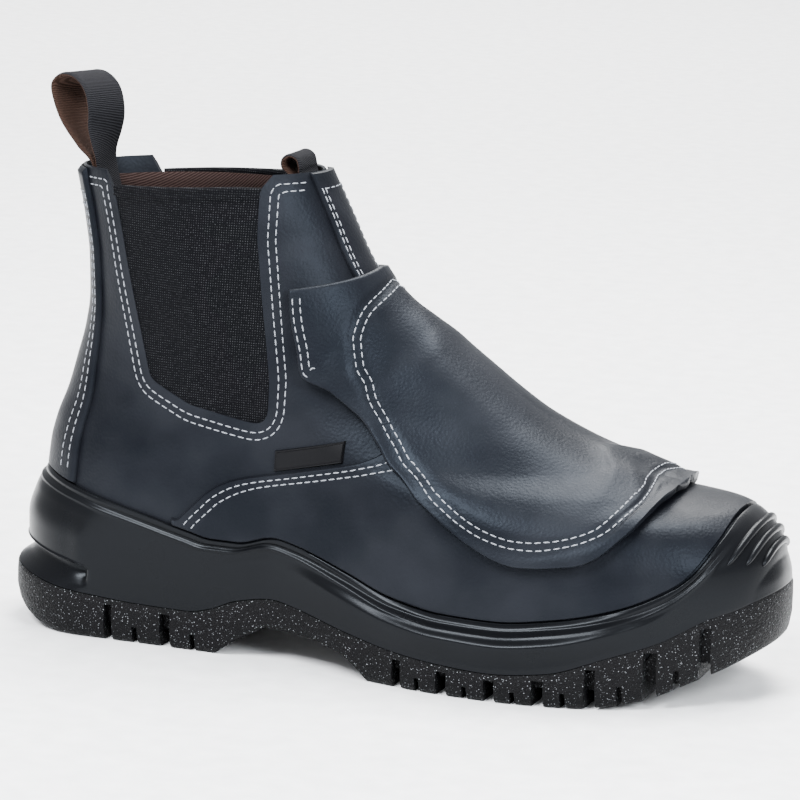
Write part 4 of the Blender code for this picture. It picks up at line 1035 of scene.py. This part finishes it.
    def label(self) -> None:
        """The bare plate on the outer side, with a raised border."""
        x0 = 0.380 * self.last.length
        across = np.linspace(0, 1, 60)[None, :]
        x = x0 + 0.0285 * math.cos(math.radians(16)) * across
        turn = np.linspace(0.19, 0.30, 40)
        seam = self.last.point(turn, smooth(self.vamp_edge[:, 0], self.vamp_edge[:, 1], turn))
        up = np.linspace(0, 1, 24)[:, None]
        z = np.interp(x, seam[:, 0], seam[:, 2]) + 3 * GAP + 0.0080 * up
        turn, level = self.last.place(x, z, -1)
        near = np.minimum(np.minimum(across, 1 - across) * 0.0285, np.minimum(up, 1 - up) * 0.008)
        lift = ease(near, 0, 0.0004) - 0.45 * ease(near, 0.0006, 0.0009)
        outer = self.last.skin(turn, level, 0.0002 + 0.0011 * lift)
        inner = self.last.skin(turn, level, np.zeros(turn.shape) - 0.0002)
        self.shop.piece("bare_side_label", Knit.slab(outer, inner), Finishes.PLATE, "side_label", angle=30)

    def build(self) -> None:
        """Every piece of the shaft."""
        self.upper()
        self.gores()
        self.overlays()
        self.label()
        self.seams()


@dataclass(frozen=True)
class Guard:
    """The metatarsal guard: a padded dome with a flat stitched edge over the instep."""

    shop: Workshop
    last: Last
    stitching: Stitching
    edge: float = 0.0025
    dome: float = 0.0058
    lift: float = 0.0011
    edge_lift: float = 0.0012
    # Row, turn and level of the outer edge, level on the ridge, dome, band
    rows: Table = (
        (0.00, 0.344, 0.832, 0.848, 0.00, 0.60), (0.08, 0.332, 0.797, 0.828, 0.10, 0.58),
        (0.16, 0.315, 0.740, 0.795, 0.40, 0.50), (0.22, 0.300, 0.691, 0.765, 0.80, 0.44),
        (0.28, 0.313, 0.669, 0.735, 1.00, 0.26), (0.35, 0.316, 0.630, 0.702, 1.00, 0.16),
        (0.42, 0.305, 0.571, 0.670, 0.92, 0.14), (0.50, 0.293, 0.502, 0.635, 0.75, 0.14),
        (0.58, 0.290, 0.414, 0.605, 0.60, 0.15), (0.65, 0.294, 0.343, 0.582, 0.55, 0.16),
        (0.72, 0.305, 0.273, 0.562, 0.60, 0.17), (0.80, 0.325, 0.229, 0.546, 0.74, 0.19),
        (0.86, 0.350, 0.231, 0.528, 0.66, 0.22), (0.92, 0.385, 0.296, 0.503, 0.40, 0.26),
        (0.97, 0.430, 0.398, 0.472, 0.16, 0.32), (1.00, 0.470, 0.439, 0.443, 0.03, 0.50),
    )
    # The outer stitch row, by row and share
    seam: Table = ((0.088, 1.000), (0.092, 0.820), (0.105, 0.612), (0.125, 0.480), (0.158, 0.368), (0.180, 0.332),
                   (0.240, 0.256), (0.315, 0.132), (0.372, 0.078), (0.440, 0.060), (0.545, 0.042), (0.633, 0.036),
                   (0.690, 0.038), (0.743, 0.050), (0.780, 0.070), (0.823, 0.084), (0.840, 0.094), (0.855, 0.112),
                   (0.870, 0.148), (0.880, 0.204), (0.891, 0.300), (0.917, 0.448), (0.945, 0.660), (0.956, 1.000))

    def layer(self, share: np.ndarray, row: np.ndarray) -> tuple[np.ndarray, ...]:
        """Turn, level, and heights of the lower and upper face, share 0 at the outer edge and 1 on the ridge."""
        table = np.array(self.rows)
        edge_turn, edge_level, ridge_level, dome, band = (smooth(table[:, 0], table[:, k], row)
                                                          for k in range(1, 6))
        turn = edge_turn + (0.5 - edge_turn) * share
        climb = 1 - (1 - share) ** (1 + 0.9 * ease(row, 0.55, 0.85))
        level = edge_level + (ridge_level - edge_level) * climb
        swell = self.dome * dome * ease(share, band, band + 0.50)
        seat = OVERLAY_SEAT + OVERLAY + self.lift + self.edge_lift * ease(row, 0.45, 0.80) * (1 - share)
        return turn, level, seat, seat + self.edge + swell, swell

    def surface(self, share: np.ndarray, row: np.ndarray, offset: float = 0.0) -> np.ndarray:
        """Point of the guard's top, share over 1 on the inner side of the foot."""
        turn, level, _, top, _ = self.both_sides(share, row)
        return self.last.skin(turn, level, top + offset)

    def both_sides(self, share: np.ndarray, row: np.ndarray) -> tuple[np.ndarray, ...]:
        """The layer with share over 1 on the inner side of the foot."""
        far = share > 1
        turn, level, seat, top, swell = self.layer(np.where(far, 2 - share, share), row)
        return np.where(far, 1 - turn, turn), level, seat, top, swell

    def shifted(self, row: np.ndarray, share: np.ndarray, distance: float) -> tuple[np.ndarray, np.ndarray]:
        """A line moved over the guard's surface, square to its own way.

        Args:
            row: rows of its points.
            share: shares of its points.
            distance: how far it moves towards the ridge, in metres.

        Returns:
            Rows and shares of the moved line.
        """
        step = 1e-3
        here = self.surface(share, row)
        by_row = (here - self.surface(share, row - step)) / step
        by_share = (here - self.surface(share - step, row)) / step
        move = np.cross(unit(np.cross(by_share, by_row)), unit(np.gradient(here, axis=0))) * distance

        def dot(first: np.ndarray, second: np.ndarray) -> np.ndarray:
            """Inner products of two lists of vectors."""
            return np.sum(first * second, -1)

        rr, rs, ss = dot(by_row, by_row), dot(by_row, by_share), dot(by_share, by_share)
        mr, ms = dot(move, by_row), dot(move, by_share)
        whole = rr * ss - rs * rs
        d_row, d_share = (ss * mr - rs * ms) / whole, (rr * ms - rs * mr) / whole
        sign = 1.0 if np.median(d_share) > 0 else -1.0
        return row + sign * d_row, share + sign * d_share

    def groove(self, share: np.ndarray, row: np.ndarray) -> np.ndarray:
        """Dip of the leather along the stitch rows."""
        seam = np.array(self.seam)
        half = np.where(share > 1, 2 - share, share)
        here = np.stack(np.broadcast_arrays(row * 0.20, half * 0.085), -1)
        line = along_path(seam * np.array((0.20, 0.085)), 0.002)
        away = np.linalg.norm(here[..., None, :] - line, axis=-1).min(-1)
        return -0.0006 * np.exp(-((away - 0.0014) / 0.0020) ** 2)

    def build(self, relief: Relief) -> None:
        """The guard's leather and its seams."""
        row = 1 - (1 - np.linspace(0, 1, 170)[:, None]) ** 1.35
        half = np.sort(np.concatenate([np.linspace(0, 1, 76), (0.004, 0.009)]))
        share = np.concatenate([half, 2 - half[-2::-1]])[None, :]
        flat = self.surface(share, row)
        size = np.linalg.norm(np.diff(flat, axis=1), axis=-1)
        run = np.concatenate([np.zeros((len(row), 1)), np.cumsum(size, 1)], 1)
        near = np.minimum(run, run[:, -1:] - run)
        down = np.concatenate([np.zeros((1, share.size)),
                               np.cumsum(np.linalg.norm(np.diff(flat, axis=0), axis=-1), 0)])
        near = np.minimum(near, np.minimum(down, down[-1:] - down))
        drop = 1 - np.sqrt(np.maximum(1 - (1 - np.clip(near / 0.0011, 0, 1)) ** 2, 0))
        offset = -0.0011 * drop + self.groove(share, row) + relief.at(flat)
        turn, level, seat, top, swell = self.both_sides(share, row)
        outer = self.last.skin(turn, level, top + offset)
        inner = self.last.skin(turn, level, seat + 0.35 * swell)
        piece = self.shop.piece("guard_leather_dome", Knit.slab(outer, inner), Finishes.GUARD, "metatarsal_guard")
        self.seams()

    def seams(self) -> None:
        """The double row round the dome and the two upright rows at each upper corner."""
        made = []
        seam = curve_through(np.array(self.seam), 260)
        for side in (0, 1):
            for inset in (0.0, 0.0028):
                row, share = self.shifted(seam[:, 0], seam[:, 1], inset)
                keep = (share > 0) & (share <= 1.0) & (row < 0.985)
                made += self.stitch_line(row[keep], share[keep], side)
            for inset in (0.0012, 0.0040):
                row, share = self.shifted(np.linspace(0.03, 0.232, 60), np.full(60, 0.004), inset)
                made += self.stitch_line(row, share, side)
        self.shop.piece("guard_seams", Knit.join(made), Finishes.THREAD, slot="metatarsal_guard", flip=False)

    def stitch_line(self, row: np.ndarray, share: np.ndarray, side: int) -> list[Mesh]:
        """Stitches along rows and shares of one side."""
        share = 2 - share if side else share
        dip = self.groove(share, row)
        path = self.surface(share, row, dip)
        over = self.surface(share, row, dip + 0.001)
        return self.stitching.row(path, unit(over - path))


@dataclass(frozen=True)
class PullLoops:
    """The webbing loops at the heel and at the front of the collar."""

    shop: Workshop
    last: Last
    width: float = 0.0185
    front_width: float = 0.018
    thickness: float = 0.0015
    leg_space: float = 0.0004
    tail: float = 0.012
    heel_height: float = 0.0318
    front_height: float = 0.0072
    twist: float = math.radians(24)
    heel_path: Table = ((0.02, 0.35), (0.03, 0.62), (-0.05, 0.85), (-0.24, 0.985), (-0.47, 0.99), (-0.63, 0.86),
                        (-0.57, 0.64), (-0.38, 0.38), (-0.18, 0.17))
    front_path: Table = ((0.04, 0.45), (-0.10, 0.85), (-0.48, 1.02), (-0.86, 0.82), (-0.90, 0.44), (-0.62, 0.13),
                         (-0.32, -0.14))
    front_return: float = 0.0030

    def path(self, shares: Table, height: float, turn: float, width: float, twist: float, lower: float
             ) -> tuple[np.ndarray, np.ndarray]:
        """The webbing's middle line, and where it leaves the collar; it comes back down lower by that much."""
        last = self.last
        inside = WALL + 3 * GAP + self.thickness + self.leg_space / 2
        top = dict(zip(last.names, last.rows[-1]))
        bow_end = top["back_round"] if turn == 0.0 else top["front_round"]
        half = top["heel"] * last.heel_width / 2
        bow = bow_end * last.length * (1 - math.sqrt(1 - (width / 2 / half) ** 2))
        inward = np.array((bow if turn == 0.0 else -bow, 0, 0))
        foot = last.skin(turn, 1.0, -inside) + inward
        low = last.level_at(np.array(turn), last.point(turn, 1.0)[2] - self.tail)
        tail = last.skin(turn, low, -inside) + inward
        tail[0] = max(tail[0], foot[0]) if turn == 0.0 else min(tail[0], foot[0] + 0.5 * self.tail)
        spots = []
        for away, up in shares:
            turned = twist * float(ease(np.array(up), 0.0, 0.5))
            spots.append(foot + height * np.array((away * math.cos(turned), -away * math.sin(turned), up)))
        leg = np.array(((self.thickness + self.leg_space) / 2, 0, 0))
        back_in = foot - leg - np.array((0, 0, lower))
        return curve_through(np.array([tail + leg, foot + leg, *spots, back_in, tail - leg]), 110), foot

    def strap(self, name: str, node: str, path: np.ndarray, width: float, twist: np.ndarray) -> None:
        """One strap, its two faces in their own finish, with woven edges."""
        along = unit(np.gradient(path, axis=0))
        across = np.stack([np.sin(twist), np.cos(twist), 0 * twist], -1)
        across = unit(across - along * np.sum(across * along, axis=1, keepdims=True))
        out = unit(np.cross(across, along))
        share = np.linspace(-0.5, 0.5, 25)[None, :, None]
        edge = np.sqrt(np.maximum(1 - (np.clip(np.abs(share) - 0.44, 0, 1) / 0.065) ** 2, 0.05))
        rim = 0.00018 * np.exp(-((np.abs(share) - 0.40) / 0.02) ** 2)
        middle = path[:, None] + share * width * across[:, None]
        outer = middle + out[:, None] * (self.thickness / 2 * edge + rim)
        inner = middle - out[:, None] * (self.thickness / 2 * edge + rim)
        self.shop.piece(name, Knit.slab(outer, middle), Finishes.WEBBING, node)
        self.shop.piece(name + "_back", Knit.slab(middle, inner), Finishes.WEBBING_BACK, slot=node)

    def build(self) -> None:
        """Both loops."""
        path, foot = self.path(self.heel_path, self.heel_height, 0.0, self.width, self.twist, 0.0)
        twist = self.twist * ease(path[:, 2] - foot[2], 0, 0.5 * self.heel_height)
        self.strap("heel_loop_webbing", "heel_pull_loop", path, self.width, twist)
        path, foot = self.path(self.front_path, self.front_height, 0.5, self.front_width, 0.0, self.front_return)
        self.strap("front_loop_webbing", "front_pull_loop", path, self.front_width, 0 * path[:, 0])


@dataclass(frozen=True)
class Bottom:
    """The cup sole, the tread and the insole."""

    shop: Workshop
    sole: SoleForm
    bars: Table = ((0.063, 0.290, 0.150), (0.048, 0.445, 0.285), (0.033, 0.580, 0.440))
    bar_radius: float = 0.0015
    lug_depth: float = 0.0065
    notch: float = 0.0022
    lug_gaps: Table = ((0.164, 0.010), (0.241, 0.013), (0.562, 0.011), (0.622, 0.013), (0.683, 0.013),
                       (0.742, 0.014), (0.803, 0.012), (0.868, 0.014), (0.925, 0.012))
    small_gaps: Table = ((0.200, 0.007), (0.278, 0.006), (0.590, 0.006), (0.652, 0.006), (0.712, 0.006),
                         (0.772, 0.006), (0.836, 0.006), (0.896, 0.006))

    def cup_point(self, turn: np.ndarray, drop: np.ndarray) -> np.ndarray:
        """Point on the cup's side, at a drop from its top."""
        run = side_and_run(turn)[1]
        out = np.array([self.sole.flank_at(one, np.array([down]))[0] for one, down in zip(run, drop)])
        return self.sole.cup_side(turn, drop, out, np.zeros(turn.shape))

    def cup(self) -> None:
        """The cup sole with the bars over its toe."""
        sole, last, count = self.sole, self.sole.last, 480
        turn = np.arange(count) / count
        run = side_and_run(turn)[1]
        rings = []
        foot = last.skin(turn, 0.0, GAP)
        foot[:, 2] = last.floor(foot[:, 0]) - GAP
        rings.append(foot)
        rim = sole.rim_level(turn)
        for share in (0.4, 0.8, 1.0):
            rings.append(last.skin(turn, rim * share, GAP))
        rings.append(last.skin(turn, rim, GAP + 0.3 * sole.rim_thickness) + np.array((0, 0, 0.0003)))
        rings.append(last.skin(turn, rim, GAP + 0.8 * sole.rim_thickness) + np.array((0, 0, 0.0003)))
        drops = np.concatenate([[0.0, 0.006], np.linspace(0.015, 0.20, 22), np.linspace(0.215, 0.68, 22),
                                np.linspace(0.69, 0.80, 24), np.linspace(0.82, 1.0, 12)])
        height = last.skin(turn, rim, GAP)[:, 2] - sole.side_height(2, turn)
        for drop in drops:
            out = np.array([sole.flank_at(one, np.array([drop]))[0] for one in run])
            down = drop * height
            fade = 1 - ease(run, 0.93, 0.985)
            groove = -0.0007 * np.exp(-((down - 0.0021) / 0.0008) ** 2) * fade
            bead = 0.00035 * np.exp(-((down - 0.0035) / 0.0006) ** 2) * fade
            near_heel = 1 - ease(run, 0.118, 0.131)
            deep = ease(np.array(drop), 0.728, 0.752) * (1 - ease(np.array(drop), 0.80, 0.95))
            notch = -deep * near_heel * (0.0006 + 0.0030 * ease(run, 0.085, 0.125))
            lip = 0.00045 * near_heel * np.exp(-((drop - 0.715) / 0.012) ** 2)
            rings.append(sole.cup_side(turn, np.full(count, drop), out, groove + bead + notch + lip))
        for inset, share in ((0.0030, 0.80), (0.0080, 1.00)):
            parting, core = sole.side_height(2, turn), sole.side_height(3, turn)
            level = parting + share * (core - parting) + GAP
            rings.append(np.concatenate([sole.edge(turn, inset + GAP)[0], level[:, None]], -1))
        points, faces = Knit.grid(np.array(rings), wrap=True)
        made = [(points, faces + self.caps(len(rings), count))]
        for spread, end, middle in self.bars:
            share = np.linspace(-1, 1, 60)
            path = self.cup_point(0.5 + spread * share, middle + (end - middle) * np.abs(share) ** 2.3)
            out = np.broadcast_to(np.array((0.85, 0.0, 0.5)), path.shape)
            radius = self.bar_radius * np.sqrt(np.maximum(1 - np.abs(share) ** 6, 0.02))
            made.append(Knit.tube(path, radius, out, sides=14))
        self.shop.piece("cup_rubber_side", Knit.join(made), Finishes.CUP, "cup_sole", angle=40)

    @staticmethod
    def caps(rings: int, count: int) -> list:
        """Strips across the first and the last ring of a stack."""
        faces = []
        for start, flip in ((0, True), ((rings - 1) * count, False)):
            for j in range(count // 2):
                strip = list(dict.fromkeys([start + j, start + j + 1, start + count - j - 1,
                                            start + (count - j) % count]))
                faces.append(strip[::-1] if flip else strip)
        return faces

    def gap_bar(self, middle: float, width: float, depth: float, notch: float) -> Mesh:
        """A bracket-shaped cutter for a gap between lugs, across the tread and up both sides."""
        sole = self.sole
        x, half = middle * sole.last.length, width * sole.last.length / 2
        turn = math.acos(1 - 2 * middle) / (2 * math.pi)
        y0, y1 = (float(sole.edge(np.array(at))[0][1]) for at in (turn, 1 - turn))
        ground = float(sole.side_height(4, np.array(turn)))
        parting = float(sole.side_height(2, np.array(turn)))
        top = parting - 0.0025
        low = min(ground + depth, top - 0.001)
        top = low + (top - low) * (1.0 if depth > 0.004 else 0.35)
        outline = [(y0 - 0.01, ground - 0.02), (y1 + 0.01, ground - 0.02), (y1 + 0.01, top), (y1 - notch, top),
                   (y1 - notch - 0.002, low), (y0 + notch + 0.002, low), (y0 + notch, top), (y0 - 0.01, top)]
        count = len(outline)
        flare = 0.0006
        points = [(x + sign * (half + (flare if z < ground else 0.0)), y, z) for sign in (-1, 1)
                  for y, z in outline]
        faces = [list(range(count)), [count + k for k in reversed(range(count))]]
        faces += [[k, (k + 1) % count, count + (k + 1) % count, count + k] for k in range(count)]
        return np.array(points), faces

    def tread(self) -> None:
        """The rubber tread with its lugs."""
        sole, count = self.sole, 300
        turn = np.arange(count) / count
        parting, core = sole.side_height(2, turn) - GAP, sole.side_height(3, turn) - GAP
        ground = sole.side_height(4, turn)
        rings = []
        for inset, share in ((0.0080, 1.00), (0.0030, 0.80), (0.0, 0.0)):
            level = parting + share * (core - parting)
            rings.append(np.concatenate([sole.edge(turn, inset)[0], level[:, None]], -1))
        for inset, share in ((-0.0004, 0.05), (-0.0006, 0.25), (-0.0006, 0.60), (0.0002, 0.85), (0.0008, 0.93),
                             (0.0016, 0.98), (0.0026, 1.0)):
            level = parting + share * (ground - parting)
            rings.append(np.concatenate([sole.edge(turn, inset)[0], level[:, None]], -1))
        points, faces = Knit.grid(np.array(rings), wrap=True)
        mesh = (points, faces + self.caps(len(rings), count))
        tread = self.shop.piece("tread_rubber", mesh, Finishes.RUBBER, "outsole", angle=35)
        length, breast = sole.last.length, sole.heel_breast
        arch = [(breast - 0.004, -0.01), (breast - 0.003, 0.0)]
        arch += [(x * length, lift * sole.arch_lift) for x, lift in sole.arch_line]
        arch.append((sole.arch_line[-1][0] * length + 0.001, -0.01))
        self.shop.cut(tread, prism(np.array(arch), -0.1, 0.1))
        bars = [self.gap_bar(middle, width, self.lug_depth, self.notch) for middle, width in self.lug_gaps]
        self.shop.cut(tread, Knit.join(bars))
        bars = [self.gap_bar(middle, width, 0.0030, 0.0016) for middle, width in self.small_gaps]
        self.shop.cut(tread, Knit.join(bars))
        tread.data.set_sharp_from_angle(angle=math.radians(35))

    def insole(self) -> None:
        """The insole on the cup's floor."""
        last, count = self.sole.last, 200
        turn = np.arange(count) / count
        rings = []
        for lift, inside in ((0.0, 0.0), (0.5, 0.0), (0.9, 0.0003), (1.0, 0.0014)):
            ring = last.skin(turn, 0.0, -(WALL + 2.5 * GAP + inside))
            ring[:, 2] = last.floor(ring[:, 0]) + GAP + lift * 0.004
            rings.append(ring)
        points, faces = Knit.grid(np.array(rings), wrap=True)
        mesh = (points, faces + self.caps(len(rings), count))
        self.shop.piece("insole_cloth", mesh, Finishes.FOOTBED, "insole")

    def build(self) -> None:
        """Cup, tread and insole."""
        self.cup()
        self.tread()
        self.insole()


@dataclass(frozen=True)
class Studio:
    """Floor, lights and the camera at the photograph's angle."""

    azimuth: float = math.radians(19.1)
    elevation: float = math.radians(12.4)
    roll: float = math.radians(2.1)
    distance: float = 1.521
    lens: float = 181.9
    shift_x: float = -0.0111
    shift_y: float = 0.0406
    target: Colour = (0.155, 0.0, 0.085)

    def lamp(self, name: str, size: float, power: float, place: Colour, aim: Colour, tint: Colour) -> None:
        """A soft square light.

        Args:
            name: its name.
            size: its side.
            power: its power in watts.
            place: where it hangs.
            aim: what it points at.
            tint: its colour.
        """
        data = bpy.data.lights.new(name, "AREA")
        data.size, data.energy, data.color = size, power, tint
        lamp = bpy.data.objects.new(name, data)
        lamp.location = place
        lamp.rotation_euler = (Vector(aim) - Vector(place)).to_track_quat("-Z", "Y").to_euler()
        bpy.context.scene.collection.objects.link(lamp)

    def build(self, shop: Workshop) -> None:
        """Makes the set."""
        data = bpy.data.meshes.new("floor")
        far = 6.0
        data.from_pydata([(-far, -far, 0), (far, -far, 0), (far, far, 0), (-far, far, 0)], [], [(0, 1, 2, 3)])
        data.materials.append(shop.material(Finishes.FLOOR))
        floor = bpy.data.objects.new("floor", data)
        bpy.context.scene.collection.objects.link(floor)
        world = bpy.data.worlds.new("studio")
        bpy.context.scene.world = world
        world.use_nodes = True
        world.node_tree.nodes["Background"].inputs["Color"].default_value = (0.94, 0.96, 1.0, 1.0)
        world.node_tree.nodes["Background"].inputs["Strength"].default_value = 1.0
        self.lamp("key", 0.55, 62.0, (-0.35, -1.0, 1.15), (0.0, 0.0, 0.06), (0.95, 0.97, 1.0))
        self.lamp("front", 0.5, 32.0, (0.95, -0.75, 0.75), (0.05, 0.0, 0.05), (0.92, 0.96, 1.0))
        self.lamp("top", 0.8, 70.0, (0.1, 0.4, 1.4), (0.0, 0.0, 0.08), (1.0, 1.0, 1.0))
        self.lamp("backdrop", 1.6, 110.0, (-0.7, 2.0, 1.5), (-0.7, 2.0, 0.0), (1.0, 1.0, 1.0))
        target = Vector(self.target) + Vector(shop.shift.tolist())
        az, el = self.azimuth, self.elevation
        back = Vector((math.sin(az) * math.cos(el), -math.cos(az) * math.cos(el), math.sin(el)))
        right = Vector((math.cos(az), math.sin(az), 0))
        up = back.cross(right)
        c, s = math.cos(self.roll), math.sin(self.roll)
        right, up = right * c + up * s, up * c - right * s
        lens = bpy.data.cameras.new("camera")
        lens.lens, lens.sensor_width, lens.shift_x, lens.shift_y = self.lens, 36.0, self.shift_x, self.shift_y
        lens.clip_start, lens.clip_end = 0.05, 50.0
        camera = bpy.data.objects.new("camera", lens)
        camera.matrix_world = Matrix((right, up, back)).transposed().to_4x4()
        camera.location = target + back * self.distance
        bpy.context.scene.collection.objects.link(camera)
        bpy.context.scene.camera = camera


# Soft creases of the upper and the guard, by turn and level of the last
UPPER_FOLDS = (
    Fold(((0.185, 0.40), (0.215, 0.50), (0.255, 0.56)), 0.0060, 0.0007),
    Fold(((0.120, 0.42), (0.150, 0.50), (0.190, 0.53)), 0.0050, 0.0005),
    Fold(((0.300, 0.62), (0.290, 0.70), (0.295, 0.78)), 0.0045, 0.0005),
    Fold(((0.320, 0.86), (0.350, 0.90), (0.400, 0.91)), 0.0050, 0.0005),
    Fold(((0.240, 0.20), (0.300, 0.24), (0.360, 0.26)), 0.0070, 0.0005),
    Fold(((0.700, 0.56), (0.740, 0.52), (0.790, 0.50)), 0.0060, 0.0006),
    Fold(((0.690, 0.66), (0.710, 0.72), (0.700, 0.80)), 0.0050, 0.0005),
)
GUARD_FOLDS = (
    Fold(((0.322, 0.690), (0.345, 0.715), (0.368, 0.735)), 0.0028, 0.0010),
    Fold(((0.395, 0.600), (0.405, 0.580), (0.415, 0.560)), 0.0012, 0.00022),
    Fold(((0.405, 0.608), (0.416, 0.588), (0.424, 0.566)), 0.0012, 0.00020),
    Fold(((0.388, 0.590), (0.397, 0.570), (0.405, 0.552)), 0.0012, 0.00018),
    Fold(((0.660, 0.700), (0.645, 0.720), (0.632, 0.735)), 0.0028, 0.0010),
)


def main() -> None:
    """Builds the boot's pieces in order and reports each."""
    logging.basicConfig(level=logging.INFO, format="%(message)s")
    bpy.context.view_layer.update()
    last = Last()
    sole = SoleForm(last)
    shop = Workshop(sole)
    stitching = Stitching()
    Studio().build(shop)
    Shaft(shop, sole, Gore(last), Relief(last, UPPER_FOLDS), stitching).build()
    Guard(shop, last, stitching).build(Relief(last, GUARD_FOLDS))
    PullLoops(shop, last).build()
    Bottom(shop, sole).build()


if __name__ == "__main__":
    main()
